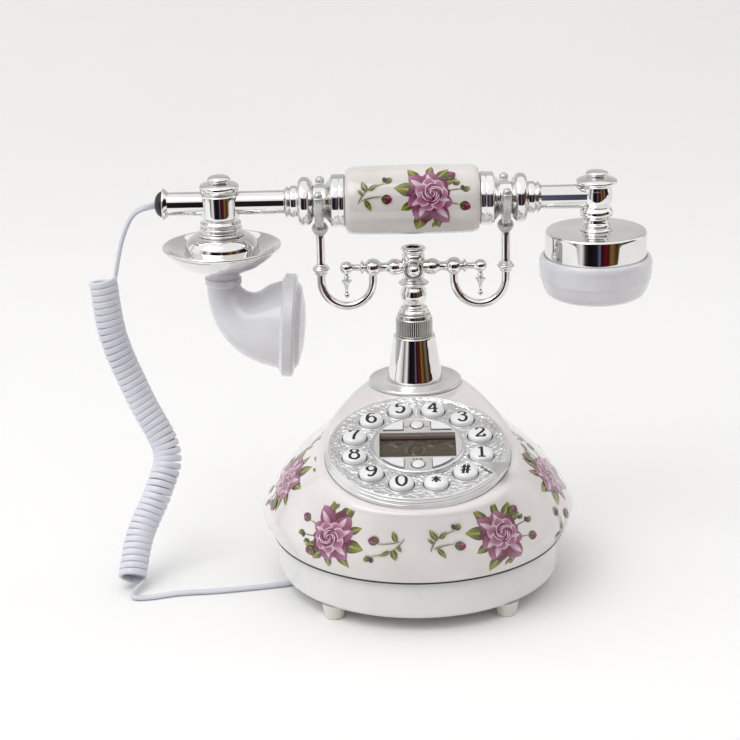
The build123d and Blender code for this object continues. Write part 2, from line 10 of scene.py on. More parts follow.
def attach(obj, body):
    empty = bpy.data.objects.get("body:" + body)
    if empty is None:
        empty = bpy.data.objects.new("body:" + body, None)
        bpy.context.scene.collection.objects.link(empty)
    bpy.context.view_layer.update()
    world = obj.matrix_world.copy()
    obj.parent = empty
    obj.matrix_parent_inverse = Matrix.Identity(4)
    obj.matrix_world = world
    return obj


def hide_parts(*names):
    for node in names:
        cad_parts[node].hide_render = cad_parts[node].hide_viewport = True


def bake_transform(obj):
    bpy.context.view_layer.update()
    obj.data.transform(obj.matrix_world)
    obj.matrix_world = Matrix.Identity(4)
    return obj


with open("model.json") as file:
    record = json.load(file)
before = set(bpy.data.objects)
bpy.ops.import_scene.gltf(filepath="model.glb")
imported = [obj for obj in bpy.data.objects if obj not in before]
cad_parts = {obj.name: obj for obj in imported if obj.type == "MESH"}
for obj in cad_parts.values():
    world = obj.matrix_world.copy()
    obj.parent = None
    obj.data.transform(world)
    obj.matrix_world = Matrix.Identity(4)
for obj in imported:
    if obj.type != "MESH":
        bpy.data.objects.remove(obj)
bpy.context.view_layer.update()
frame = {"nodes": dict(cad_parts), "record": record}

MM = 0.001
TURN = 2 * math.pi

# Body and base, in millimetres: (height, half width, front edge y, back edge y, egg factor)
SEAM_Z = 29.4
SHELL_LEVELS = [
    (29.4, 77.4, -77.4, 77.4, 0.00), (41.0, 82.5, -82.5, 82.5, 0.00), (53.5, 76.8, -83.8, 80.0, 0.01),
    (68.0, 66.6, -84.4, 74.5, 0.05), (82.4, 51.4, -83.4, 69.0, 0.10), (96.8, 39.0, -82.4, 64.5, 0.15)
]
SHELL_WALL = 2.5
NECK_TOP = 96.8
NECK_PROFILE = [(26.2, 96.8), (28.0, 93.2), (31.0, 90.2), (36.0, 87.0), (46.0, 70.0)]
SHOULDER_RADIUS = 3.2
AROUND = 288
SIDE_STEPS = 56
SHOULDER_STEPS = 6
ROOF_STEPS = 48

# Dial
DIAL_CENTRE = Vector((0, -34.73, 85.61))
DIAL_TILT = math.radians(14)
DIAL_SEAT = -4.5
BEZEL_RADIUS = 47.6
PLATE_RADII = (23.4, 45.3)
KEY_CIRCLE_RADIUS = 33.4
KEY_NAMES = ["2", "3", "4", "5", "6", "7", "8", "9", "0", "star", "hash", "1"]
KEY_HOLE_RADIUS = 6.3
KEY_DOME = [(6.15, 1.5), (5.95, 2.1), (5.3, 2.75), (4.3, 3.2), (3.2, 3.5), (1.6, 3.74), (0, 3.8)]

# Pedestal, cradle and handset
PEDESTAL_Y = 37.0
KNURL_RIDGES = 50
HUB_Z = 161.3
FORK_X = 49.1
HOOK_INNER_X = 21.6
PENDANT_X = 35.7
AXIS_Z = 198.1
MOUTH_X = -101.5
EAR_X = 97.0
GRIP_RADIUS = 18.1
SAUCER_DROP = 2.4

# Cord: a flat ribbon, wound into a coil with its wide side outwards
WINDING_RADIUS = 6.6
CORD_HALF_WIDTH = 1.75
CORD_HALF_DEPTH = 1.05
WINDING_TURNS = 48
WINDING_STEPS = 28
COIL_POINTS = [
    (-165.5, 34, 158), (-161.5, 33, 126), (-149, 31, 92), (-135.5, 24, 64), (-139.5, 13, 46),
    (-149.5, 0, 25), (-153.4, -14.5, 6.0)
]
LEAD_POINTS = [
    (-151.5, -27.5, 2.0), (-143, -28.5, 1.5), (-127, -24, 1.5), (-104, -21.5, 1.5), (-72, -15, 1.6),
    (-58, -10, 2.6), (-50, -8, 5.0)
]
TAIL_POINTS = [(-134, 37, 198.1), (-146.5, 36.5, 194), (-154, 35.5, 180)]

DIAL_PLACE = Matrix.Translation(DIAL_CENTRE) @ Matrix.Rotation(DIAL_TILT, 4, "X")
PEDESTAL_PLACE = Matrix.Translation((0, PEDESTAL_Y, 0))
HANDSET_PLACE = Matrix.Translation((0, PEDESTAL_Y, AXIS_Z)) @ Matrix.Rotation(math.pi / 2, 4, "Y")
MOUTH_PLACE = Matrix.Translation((MOUTH_X, PEDESTAL_Y, AXIS_Z))
EAR_PLACE = Matrix.Translation((EAR_X, PEDESTAL_Y, AXIS_Z))


# ---------------------------------------------------------------- materials


def linear(red, green, blue):
    """Colour given as 0 to 255 display values, for a shader."""
    return tuple((value / 255) ** 2.2 for value in (red, green, blue)) + (1.0,)


def add_node(tree, kind, **values):
    """New shader node with its inputs or properties set by name."""
    node = tree.nodes.new(kind)
    for key, value in values.items():
        label = key.replace("_", " ")
        if label in node.inputs:
            node.inputs[label].default_value = value
        else:
            setattr(node, key, value)
    return node


def wire(tree, *links):
    """Joins sockets, given as (node, output, node, input)."""
    for start, output, end, socket in links:
        tree.links.new(start.outputs[output], end.inputs[socket])


def colour_ramp(tree, stops):
    """Ramp node through (position, display colour) stops."""
    ramp = add_node(tree, "ShaderNodeValToRGB")
    elements = ramp.color_ramp.elements
    while len(elements) < len(stops):
        elements.new(0.5)
    for element, (position, colour) in zip(elements, stops):
        element.position = position
        element.color = linear(*colour)
    return ramp


def blank_material(name, metallic, coat, coat_rough):
    """Registers an empty procedural material: (node tree, principled shader)."""
    material = bpy.data.materials.new(name)
    material.use_nodes = True
    shader = material.node_tree.nodes["Principled BSDF"]
    shader.inputs["Metallic"].default_value = metallic
    shader.inputs["Coat Weight"].default_value = coat
    shader.inputs["Coat Roughness"].default_value = coat_rough
    MATERIALS[name] = material
    return material.node_tree, shader


def grain_nodes(tree, shader, rough, grain, depth):
    """Uneven gloss and fine surface relief from one noise; returns the node that places it."""
    position = add_node(tree, "ShaderNodeTexCoord")
    fine = add_node(tree, "ShaderNodeTexNoise", Scale=grain, Detail=4.0)
    gloss = add_node(tree, "ShaderNodeMapRange", To_Min=rough[0], To_Max=rough[1])
    bump = add_node(tree, "ShaderNodeBump", Strength=0.35, Distance=depth)
    wire(tree, (position, "Object", fine, "Vector"), (fine, "Fac", gloss, "Value"),
         (gloss, "Result", shader, "Roughness"), (fine, "Fac", bump, "Height"),
         (bump, "Normal", shader, "Normal"))
    return position


def finish(name, dark, light, rough=(0.2, 0.3), metallic=0.0, grain=900.0, depth=0.000006, coat=0.0,
           patches=35.0):
    """Two close tones in soft patches, with uneven gloss and fine relief."""
    tree, shader = blank_material(name, metallic, coat, 0.06)
    position = grain_nodes(tree, shader, rough, grain, depth)
    soft = add_node(tree, "ShaderNodeTexNoise", Scale=patches, Detail=3.0)
    ramp = colour_ramp(tree, [(0.35, dark), (0.65, light)])
    wire(tree, (position, "Object", soft, "Vector"), (soft, "Fac", ramp, "Fac"),
         (ramp, "Color", shader, "Base Color"))


def vertex_colour_finish(name, rough, metallic, coat):
    """Finish whose colours are painted on the mesh, broken up by a fine screen: the prints' own colours, and
    on the knurled collar painted shade in its grooves.
    """
    tree, shader = blank_material(name, metallic, coat, 0.05)
    position = grain_nodes(tree, shader, rough, 1500.0, 0.000004)
    paint = add_node(tree, "ShaderNodeVertexColor", layer_name="print_and_groove_shade")
    screen = add_node(tree, "ShaderNodeTexNoise", Scale=700.0, Detail=2.0)
    shade = add_node(tree, "ShaderNodeMapRange", To_Min=0.86, To_Max=1.12)
    mix = add_node(tree, "ShaderNodeVectorMath", operation="MULTIPLY")
    wire(tree, (position, "Object", screen, "Vector"), (screen, "Fac", shade, "Value"),
         (paint, "Color", mix, 0), (shade, "Result", mix, 1), (mix, "Vector", shader, "Base Color"))


def display_finish(name):
    """Dark olive display with a black line and a brown band at its top."""
    tree, shader = blank_material(name, 0.0, 0.5, 0.03)
    position = grain_nodes(tree, shader, (0.05, 0.09), 400.0, 0.000005)
    split = add_node(tree, "ShaderNodeSeparateXYZ")
    place = add_node(tree, "ShaderNodeMapRange", From_Min=-0.0451, From_Max=-0.0244)
    ramp = colour_ramp(tree, [(0.0, (60, 52, 38)), (0.72, (68, 60, 44)), (0.80, (52, 46, 36)),
                              (0.83, (12, 11, 10)), (0.90, (14, 12, 10)), (0.93, (96, 70, 52))])
    wire(tree, (position, "Object", split, "Vector"), (split, "Y", place, "Value"),
         (place, "Result", ramp, "Fac"), (ramp, "Color", shader, "Base Color"))


MATERIALS = {}
finish("pearl_white", (221, 216, 213), (229, 225, 223), (0.14, 0.24), coat=0.7)
finish("white_plastic", (216, 216, 222), (226, 226, 231), (0.2, 0.32), coat=0.4)
finish("tray_white", (222, 222, 221), (230, 230, 229), (0.16, 0.26), coat=0.5)
finish("cream_foot", (222, 218, 208), (230, 226, 217), (0.45, 0.6))
finish("chrome", (222, 221, 219), (236, 235, 234), (0.03, 0.07), 1.0, 500.0, 0.000003)
finish("fork_grey", (186, 186, 184), (204, 204, 202), (0.2, 0.32), 0.55, 1500.0, 0.000004)
# Its colours come from the mesh: painted shade in the grooves of the knurl.
vertex_colour_finish("knurled_steel", (0.14, 0.24), 1.0, 0.0)
finish("silver_embossed", (212, 213, 214), (232, 232, 233), (0.12, 0.22), 0.85)
finish("flange_satin", (208, 208, 206), (226, 226, 224), (0.24, 0.36), 0.6, 1600.0, 0.00001)
finish("frame_satin", (206, 205, 202), (220, 219, 216), (0.2, 0.3), 0.35, coat=0.4)
finish("bezel_clear_silver", (212, 212, 211), (228, 228, 228), (0.08, 0.16), 0.6, coat=0.5)
finish("key_white", (226, 226, 227), (235, 235, 236), (0.08, 0.16), coat=0.7)
finish("print_black", (10, 10, 12), (24, 24, 27), (0.25, 0.4))
# Painted shade: dark brown for the rings put in the gaps at the body's seam, inside the key collars and round
# the function keys.
finish("painted_gap_shade", (28, 22, 18), (48, 38, 30), (0.4, 0.6))
display_finish("window_dark")
finish("lcd_glass", (70, 66, 50), (92, 88, 68), (0.1, 0.2))
finish("silicone", (150, 150, 154), (170, 170, 174), (0.5, 0.65))
finish("board_green", (22, 92, 48), (34, 112, 62), (0.3, 0.45), patches=400.0)
finish("zinc_steel", (158, 158, 158), (190, 190, 190), (0.25, 0.4), 1.0)
finish("black_plastic", (14, 14, 15), (32, 32, 34), (0.25, 0.4))
finish("cord_white", (206, 207, 218), (219, 220, 229), (0.3, 0.42), coat=0.15)
finish("grip_porcelain", (214, 208, 203), (225, 221, 217), (0.1, 0.2), coat=0.8)
vertex_colour_finish("rose_print", (0.16, 0.26), 0.0, 0.6)


# ---------------------------------------------------------------- mesh helpers


class Shape:
    """Points in millimetres and faces, gathered before they become one mesh."""

    def __init__(self):
        self.points = []
        self.faces = []
        self.colours = []

    def grid(self, rows, wrap_rows=False, wrap_columns=False, colours=None):
        """Quads between equal rows of points."""
        base = len(self.points)
        columns = len(rows[0])
        for row in rows:
            self.points.extend(Vector(point) for point in row)
        if colours:
            for row in colours:
                self.colours.extend(row)
        row_count = len(rows) if wrap_rows else len(rows) - 1
        column_count = columns if wrap_columns else columns - 1
        for i in range(row_count):
            for j in range(column_count):
                a = base + i * columns + j
                b = base + i * columns + (j + 1) % columns
                c = base + ((i + 1) % len(rows)) * columns + (j + 1) % columns
                d = base + ((i + 1) % len(rows)) * columns + j
                self.faces.append((a, b, c, d))
        return base

    def fan(self, ring, centre):
        """Triangles from a ring of point numbers to one new centre point."""
        hub = len(self.points)
        self.points.append(Vector(centre))
        for i in range(len(ring)):
            self.faces.append((ring[i], ring[(i + 1) % len(ring)], hub))

    def add(self, other, place=Matrix.Identity(4), flip=False):
        """Copies another shape into this one."""
        base = len(self.points)
        self.points.extend(place @ point for point in other.points)
        for face in other.faces:
            numbers = [base + index for index in face]
            self.faces.append(tuple(reversed(numbers)) if flip else tuple(numbers))
        self.colours.extend(other.colours)

    def face_outwards(self):
        """Turns all faces over when the closed shape is inside out; returns the shape."""
        volume = 0.0
        for face in self.faces:
            a = self.points[face[0]]
            for i in range(1, len(face) - 1):
                volume += a.dot(self.points[face[i]].cross(self.points[face[i + 1]]))
        if volume < 0:
            self.faces = [tuple(reversed(face)) for face in self.faces]
        return self


def mirrored(shape, place):
    """A shape at its place, together with its mirror image across the YZ plane."""
    both = Shape()
    both.add(shape, place)
    both.add(shape, Matrix.Diagonal((-1, 1, 1, 1)) @ place, flip=True)
    return both


def capped(rows):
    """Closed solid from (centre, ring of points) rows, with a cap at both ends."""
    shape = Shape()
    shape.grid([ring for _, ring in rows], wrap_columns=True)
    count = len(rows[0][1])
    last = (len(rows) - 1) * count
    shape.fan(list(reversed(range(count))), rows[0][0])
    shape.fan([last + i for i in range(count)], rows[-1][0])
    return shape.face_outwards()


def make_piece(name, shape, material, body, replaces=(), place=Matrix.Identity(4)):
    """Turns a shape into a smooth-shaded object that rides on a CAD body."""
    mesh = bpy.data.meshes.new(name)
    points = [(place @ point) * MM for point in shape.points]
    mesh.from_pydata([tuple(point) for point in points], [], shape.faces)
    mesh.polygons.foreach_set("use_smooth", [True] * len(mesh.polygons))
    # Colours on the mesh: print on the prints, and painted shade in the grooves of the knurled collar.
    if shape.colours:
        layer = mesh.color_attributes.new("print_and_groove_shade", "FLOAT_COLOR", "POINT")
        layer.data.foreach_set("color", [value for colour in shape.colours for value in colour])
    mesh.materials.append(MATERIALS[material])
    mesh.update()
    piece = bpy.data.objects.new(name, mesh)
    bpy.context.scene.collection.objects.link(piece)
    if body:
        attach(piece, body)
    if replaces:
        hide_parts(*replaces)
    return piece


def carve(piece, cutter, place):
    """Cuts a shape out of a piece for good."""
    mesh = bpy.data.meshes.new("cutter")
    mesh.from_pydata([tuple((place @ point) * MM) for point in cutter.points], [], cutter.faces)
    tool = bpy.data.objects.new("cutter", mesh)
    bpy.context.scene.collection.objects.link(tool)
    cut = piece.modifiers.new("cut", "BOOLEAN")
    cut.object = tool
    cut.solver = "EXACT"
    result = bpy.data.meshes.new_from_object(piece.evaluated_get(bpy.context.evaluated_depsgraph_get()))
    piece.modifiers.clear()
    piece.data = result
    bpy.data.objects.remove(tool)


def rounded(outline, closed, limit=1.2, passes=2):
    """Outline with its corners cut twice, at most limit from each corner."""
    points = [Vector(point) for point in outline]
    for _ in range(passes):
        cut = []
        count = len(points)
        spans = count if closed else count - 1
        for i in range(spans):
            a = points[i]
            b = points[(i + 1) % count]
            share = min(0.25, limit / max((b - a).length, 1e-9))
            cut.append(a + (b - a) * share)
            cut.append(b - (b - a) * share)
        if not closed:
            cut[0] = points[0]
            cut[-1] = points[-1]
        points = cut
    return points


def refined(points, closed, longest=1.5):
    """Extra points on long straight runs, so that shading stays even."""
    result = []
    count = len(points)
    spans = count if closed else count - 1
    for i in range(spans):
        a = points[i]
        b = points[(i + 1) % count]
        steps = max(1, math.ceil((b - a).length / longest))
        for step in range(steps):
            result.append(a + (b - a) * (step / steps))
    if not closed:
        result.append(points[-1])
    return result


def lathe(profile, segments=96, limit=1.2, ripple=None):
    """Turned solid from (radius, height) points; a profile that starts on the axis ends on it too."""
    closed = profile[0][0] > 0
    points = refined(rounded(profile, closed, limit), closed)
    rows = []
    for point in points:
        if point[0] <= 1e-6:
            continue
        row = []
        for i in range(segments):
            angle = TURN * i / segments
            radius = point[0] + (ripple(angle, point[0], point[1]) if ripple else 0)
            row.append((radius * math.cos(angle), radius * math.sin(angle), point[1]))
        rows.append(((0, 0, point[1]), row))
    if not closed:
        rows[0] = ((0, 0, points[0][1]), rows[0][1])
        rows[-1] = ((0, 0, points[-1][1]), rows[-1][1])
        return capped(rows)
    shape = Shape()
    shape.grid([row for _, row in rows], wrap_rows=True, wrap_columns=True)
    return shape.face_outwards()


def ball_profile(radius, steps):
    """Outline of a ball for the lathe."""
    angles = [math.pi * i / steps for i in range(1, steps)]
    return [(0, -radius)] + [(radius * math.sin(a), -radius * math.cos(a)) for a in angles] + [(0, radius)]


def smooth_path(points, steps, closed=False):
    """Catmull-Rom curve through the points."""
    result = []
    count = len(points)
    vectors = [Vector(point) for point in points]
    spans = count if closed else count - 1
    for i in range(spans):
        if closed:
            p0, p1, p2, p3 = (vectors[(i + k) % count] for k in (-1, 0, 1, 2))
        else:
            p0, p1, p2, p3 = (vectors[min(max(i + k, 0), count - 1)] for k in (-1, 0, 1, 2))
        for step in range(steps):
            t = step / steps
            result.append(0.5 * (2 * p1 + (p2 - p0) * t + (2 * p0 - 5 * p1 + 4 * p2 - p3) * t * t
                                 + (3 * p1 - p0 - 3 * p2 + p3) * t ** 3))
    if not closed:
        result.append(vectors[-1])
    return result


def path_frames(path):
    """Tangent, side and up directions along a path, without twist."""
    frames = []
    side = None
    for i, point in enumerate(path):
        ahead = path[min(i + 1, len(path) - 1)]
        behind = path[max(i - 1, 0)]
        tangent = (ahead - behind).normalized()
        if side is None:
            helper = Vector((0, 1, 0)) if abs(tangent.y) < 0.9 else Vector((1, 0, 0))
            side = helper.cross(tangent).normalized()
        side = (side - tangent * side.dot(tangent)).normalized()
        frames.append((tangent, side, tangent.cross(side)))
    return frames


def sweep(path, section):
    """Closed solid from a flat section, a list of (side, up) points, carried along a path."""
    rows = []
    for point, (_, side, up) in zip(path, path_frames(path)):
        rows.append((point, [point + side * x + up * y for x, y in section]))
    return capped(rows)


def circle(radius, count):
    """Round section."""
    angles = [TURN * i / count for i in range(count)]
    return [(radius * math.cos(angle), radius * math.sin(angle)) for angle in angles]


# ---------------------------------------------------------------- body


def shell_level(height):
    """Half width, front, back and egg factor at a height, smoothly between the levels."""
    levels = SHELL_LEVELS
    low = 0
    while low < len(levels) - 2 and levels[low + 1][0] <= height:
        low += 1
    span = levels[low + 1][0] - levels[low][0]
    t = (height - levels[low][0]) / span
    values = []
    for column in range(1, 5):
        slopes = []
        for i in (low, low + 1):
            before = levels[max(i - 1, 0)]
            after = levels[min(i + 1, len(levels) - 1)]
            slopes.append((after[column] - before[column]) / (after[0] - before[0]) * span)
        a = levels[low][column]
        b = levels[low + 1][column]
        values.append(a * (2 * t ** 3 - 3 * t ** 2 + 1) + slopes[0] * (t ** 3 - 2 * t ** 2 + t)
                      + b * (3 * t ** 2 - 2 * t ** 3) + slopes[1] * (t ** 3 - t ** 2))
    return values


def side_point(angle, height, inset):
    """Point on the body's egg-shaped side."""
    half_width, front, back, egg = shell_level(height)
    x = (half_width - inset) * math.cos(angle) * (1 - egg * math.sin(angle))
    y = (front + back) / 2 + ((back - front) / 2 - inset) * math.sin(angle)
    return Vector((x, y, height))


def soft_max(a, b, width):
    """The larger of two values, rounded where they meet."""
    return (a + b + math.sqrt((a - b) ** 2 + width ** 2)) / 2


def neck_height(reach):
    """Height of the pedestal's neck at a distance from its axis."""
    for (r0, z0), (r1, z1) in zip(NECK_PROFILE, NECK_PROFILE[1:]):
        if reach <= r1:
            t = max(0.0, (reach - r0) / (r1 - r0))
            return z0 + (z1 - z0) * t
    return NECK_PROFILE[-1][1]


def roof_height(x, y, inset):
    """Height of the dial slope, the neck and the flat top above a point."""
    slope = DIAL_CENTRE.z + math.tan(DIAL_TILT) * (y - DIAL_CENTRE.y) + DIAL_SEAT / math.cos(DIAL_TILT)
    neck = neck_height(math.hypot(x, y - PEDESTAL_Y))
    height = soft_max(slope, neck, 1.6)
    return -soft_max(-height, -NECK_TOP, 0.5) - inset


def shoulder_point(angle, inset):
    """Where the side meets the roof."""
    low = SEAM_Z
    high = NECK_TOP
    for _ in range(30):
        middle = (low + high) / 2
        point = side_point(angle, middle, inset)
        if roof_height(point.x, point.y, inset) > middle:
            low = middle
        else:
            high = middle
    return side_point(angle, low, inset)


def sampled(points, start, end, count):
    """Evenly spaced points along a path, between two distances from its start."""
    lengths = [0.0]
    for a, b in zip(points, points[1:]):
        lengths.append(lengths[-1] + (b - a).length)
    end = lengths[-1] - end
    result = []
    index = 0
    for i in range(count):
        wanted = start + (end - start) * i / (count - 1)
        while index < len(points) - 2 and lengths[index + 1] < wanted:
            index += 1
        span = max(lengths[index + 1] - lengths[index], 1e-9)
        t = min(max((wanted - lengths[index]) / span, 0.0), 1.0)
        result.append(points[index].lerp(points[index + 1], t))
    return result


def dial_circle_point(towards, radius, height):
    """Point on a circle in the dial's plane, on the side of another point."""
    local = DIAL_PLACE.inverted() @ towards
    angle = math.atan2(local.y, local.x)
    return DIAL_PLACE @ Vector((radius * math.cos(angle), radius * math.sin(angle), height))


def shell_side_and_roof(angle, inset, inner_radius):
    """Side and roof paths at one angle, meeting in a rounded shoulder."""
    corner = shoulder_point(angle, inset)
    side = [side_point(angle, SEAM_Z + (corner.z - SEAM_Z) * i / 80, inset) for i in range(81)]
    rim = dial_circle_point(corner, inner_radius, DIAL_SEAT)
    roof = []
    for i in range(81):
        x = corner.x + (rim.x - corner.x) * i / 80
        y = corner.y + (rim.y - corner.y) * i / 80
        roof.append(Vector((x, y, roof_height(x, y, inset))))
    roof_length = sum((b - a).length for a, b in zip(roof, roof[1:]))
    radius = min(SHOULDER_RADIUS, 0.8 * roof_length)
    side_part = sampled(side, 0, radius, SIDE_STEPS)
    roof_part = sampled(roof, radius, 0, ROOF_STEPS)
    shoulder = []
    for i in range(1, SHOULDER_STEPS):
        t = i / SHOULDER_STEPS
        shoulder.append(side_part[-1] * (1 - t) ** 2 + corner * (2 * t * (1 - t)) + roof_part[0] * t ** 2)
    return side_part, shoulder + roof_part


def build_body():
    """Hollow shell with a seat and opening for the dial, and a dark ring of painted shadow at its seam;
    returns the rows of its outer side.
    """
    rows = []
    outer_sides = []
    for i in range(AROUND):
        angle = TURN * i / AROUND
        side, roof = shell_side_and_roof(angle, 0, BEZEL_RADIUS + 0.3)
        inner_side, inner_roof = shell_side_and_roof(angle, SHELL_WALL, 45.0)
        pocket = [dial_circle_point(roof[-1], BEZEL_RADIUS + 0.3, DIAL_SEAT),
                  dial_circle_point(roof[-1], 46.5, DIAL_SEAT),
                  dial_circle_point(roof[-1], 45.0, DIAL_SEAT),
                  dial_circle_point(roof[-1], 45.0, DIAL_SEAT - 1.2)]
        rows.append(side + roof + pocket + list(reversed(inner_side + inner_roof)))
        outer_sides.append(side)
    shape = Shape()
    shape.grid(rows, wrap_rows=True, wrap_columns=True)
    make_piece("body_shell_smooth", shape.face_outwards(), "pearl_white", "base", ["body_shell"])
    # Painted shadow: a dark ring at the seam stands in for the shade in the gap between body and tray.
    seam_shadow = lathe([(74.6, 28.3), (77.1, 28.3), (77.4, 28.7), (77.3, 29.5), (74.6, 29.5)], 192, 0.3)
    make_piece("seam_shadow_ring", seam_shadow, "painted_gap_shade", "base")
    return outer_sides


class BodySurface:
    """Finds points and normals on the body's outer side from an angle and a distance above the seam."""

    def __init__(self, sides):
        self.sides = sides

    def point(self, angle, rise):
        position = angle / TURN * AROUND
        column = math.floor(position)
        t = position - column
        ends = []
        for side in (self.sides[column % AROUND], self.sides[(column + 1) % AROUND]):
            step = sum((b - a).length for a, b in zip(side, side[1:])) / (SIDE_STEPS - 1)
            place = min(max(rise / step, 0.0), SIDE_STEPS - 1.001)
            index = int(place)
            ends.append(side[index].lerp(side[index + 1], place - index))
        return ends[0].lerp(ends[1], t)

    def place(self, angle, rise, across, up, lift):
        """Point at an offset in millimetres along the surface, lifted off it."""
        small = 0.01
        here = self.point(angle, rise + up)
        spacing = (self.point(angle + small, rise + up) - here).length / small
        turned = angle + across / spacing
        here = self.point(turned, rise + up)
        along = self.point(turned + small, rise + up) - self.point(turned - small, rise + up)
        rising = self.point(turned, rise + up + 0.5) - self.point(turned, rise + up - 0.5)
        return here + along.cross(rising).normalized() * lift


# ---------------------------------------------------------------- rose print

PLUM_DARK = linear(54, 4, 30)
PLUM = linear(98, 12, 54)
PLUM_MID = linear(132, 40, 84)
PLUM_PALE = linear(176, 110, 148)
PETAL_WHITE = linear(232, 218, 226)
LEAF_DARK = linear(44, 48, 16)
LEAF = linear(94, 98, 22)
LEAF_LIGHT = linear(164, 160, 54)
BERRY = linear(48, 8, 26)

# Rose in the print, in millimetres: its heart, wound from rings of (radius, count, length, width)
HEART = (1.3, 1.0)
HEART_RADIUS = 5.2
HEART_RINGS = [(4.9, 4, 7.6, 1.9), (3.6, 3, 7.0, 1.7), (2.3, 3, 4.6, 1.5), (1.1, 2, 3.2, 1.1)]
# Its petals, as (direction, length, width)
BACK_PETALS = [(-100, 15.5, 10.5), (172, 12.5, 8.5), (45, 12.5, 9.0), (12, 11.0, 8.0)]
OUTER_PETALS = [
    (-58, 18.0, 9.0), (-122, 14.5, 9.5), (-158, 12.5, 8.5), (134, 15.5, 9.0), (90, 14.0, 9.5),
    (-20, 12.5, 8.0)
]
MIDDLE_PETALS = [
    (-120, 9.4, 8.0), (-62, 8.8, 7.4), (-6, 8.2, 7.0), (48, 8.2, 7.0), (104, 8.6, 7.2),
    (160, 9.2, 7.6), (206, 9.0, 7.6)
]


def mixed(a, b, t):
    """Colour between two others."""
    return tuple(x + (y - x) * t for x, y in zip(a, b))


class Artwork:
    """Flat drawing in millimetres made of overlapping petals, leaves and stems."""

    def __init__(self, drawing):
        self.marks = []
        draw = {"leaf": self.leaf, "stem": self.stem, "bud": self.bud, "green_bud": self.green_bud,
                "rose": self.rose}
        for mark, *values in drawing:
            draw[mark](*values)

    def blade(self, x, y, direction, length, width, bend, colours, fullness=1.0, tip=1.0):
        """Petal or leaf from its root; colours run root, middle, tip and edge."""
        heading = math.radians(direction)
        curve = math.radians(bend)
        steps = 9
        lanes = 6
        rows = []
        shades = []
        px, py = x, y
        for i in range(steps + 1):
            t = i / steps
            angle = heading + curve * (t - 0.5)
            if i:
                px += length / steps * math.cos(angle)
                py += length / steps * math.sin(angle)
            half = width / 2 * math.sin(math.pi * min(t, 0.9999) ** fullness) ** tip
            row = []
            shade = []
            for j in range(lanes + 1):
                s = 2 * j / lanes - 1
                row.append((px - half * s * math.sin(angle), py + half * s * math.cos(angle)))
                colour = mixed(colours[0], colours[1], min(1, 2 * t))
                colour = mixed(colour, colours[2], max(0, 2 * t - 1))
                shade.append(mixed(colour, colours[3], abs(s) ** 4 * 0.8 * min(1, 3 * t)))
            rows.append(row)
            shades.append(shade)
        self.marks.append((rows, shades))

    def leaf(self, x, y, direction, length, width, bend=15):
        """Leaf with a light midrib."""
        self.blade(x, y, direction, length, width, bend, (LEAF_DARK, LEAF, LEAF_LIGHT, LEAF_DARK), 0.8)
        self.blade(x, y, direction, length * 0.9, width * 0.16, bend,
                   (LEAF_LIGHT, LEAF_LIGHT, LEAF_LIGHT, LEAF_LIGHT), 0.7)

    def stem(self, x, y, direction, length, bend=20):
        """Thin green stem."""
        self.blade(x, y, direction, length, 0.55, bend, (LEAF, LEAF, LEAF_LIGHT, LEAF), 0.9, 0.3)

    def bud(self, x, y, direction, size):
        """Plum bud between two green sepals."""
        self.blade(x, y, direction, size, size * 0.85, 0, (PLUM_DARK, PLUM, PLUM_MID, BERRY), 0.9, 0.6)
        shine = (PLUM, PLUM_MID, PLUM_PALE, PLUM)
        self.blade(x, y, direction + 14, size * 0.9, size * 0.35, -20, shine, 0.9, 0.7)
        for side in (-1, 1):
            sepal = (LEAF_DARK, LEAF, LEAF, LEAF_DARK)
            self.blade(x, y, direction + 30 * side, size * 0.6, size * 0.3, -20 * side, sepal)

    def green_bud(self, x, y, direction, size):
        """Closed green bud with a dark berry beside it."""
        self.blade(x, y, direction, size, size * 0.7, 0, (LEAF_DARK, LEAF, LEAF_LIGHT, LEAF_DARK), 0.9, 0.6)
        berry = (BERRY, LEAF_DARK, LEAF_DARK, BERRY)
        self.blade(x, y, direction + 70, size * 0.7, size * 0.55, 0, berry, 0.9, 0.6)

    def arc(self, radius, start, length, width, colours):
        """Curved petal edge that follows a circle round the rose's heart, winding slowly inwards."""
        heading = math.radians(start)
        bend = math.degrees(length / radius) * 1.06
        self.blade(HEART[0] + radius * math.cos(heading), HEART[1] + radius * math.sin(heading),
                   start + 96 + bend / 2, length, width, bend, colours, 1.0, 0.7)

    def rose(self):
        """Open rose about the origin: pointed outer petals, paler inner ones and a wound heart."""
        back = (PLUM_DARK, PLUM_DARK, PLUM, PLUM_MID)
        outer = (PLUM_DARK, PLUM, PLUM_PALE, PLUM_MID)
        bright = (PLUM, PLUM_PALE, PETAL_WHITE, PLUM)
        middle = (PLUM_DARK, PLUM_MID, PLUM_PALE, PETAL_WHITE)
        for direction, length, width in BACK_PETALS:
            self.blade(0, 0, direction, length, width, 22, back, 1.2, 0.9)
        for direction, length, width in OUTER_PETALS:
            self.blade(0, 0, direction, length, width, 18, outer, 1.2, 0.8)
            self.blade(0, 0, direction + 5, length * 0.86, width * 0.42, 18, bright, 1.3, 0.9)
        for direction, length, width in MIDDLE_PETALS:
            self.blade(HEART[0], HEART[1], direction, length, width, -24, middle, 1.4, 0.6)
        shadow = (PLUM_DARK, PLUM_DARK, PLUM_DARK, PLUM)
        across = 2 * HEART_RADIUS
        self.blade(HEART[0] - HEART_RADIUS, HEART[1], 0, across, across, 0, shadow, 1.0, 0.5)
        for radius, count, length, width in HEART_RINGS:
            for i in range(count):
                start = 360 * i / count + 70 * radius
                self.arc(radius, start, length, width, (PLUM, PLUM_MID, PLUM_PALE, PLUM))
                self.arc(radius + 0.35 * width, start + 8, length * 0.85, 0.42, (PETAL_WHITE,) * 4)


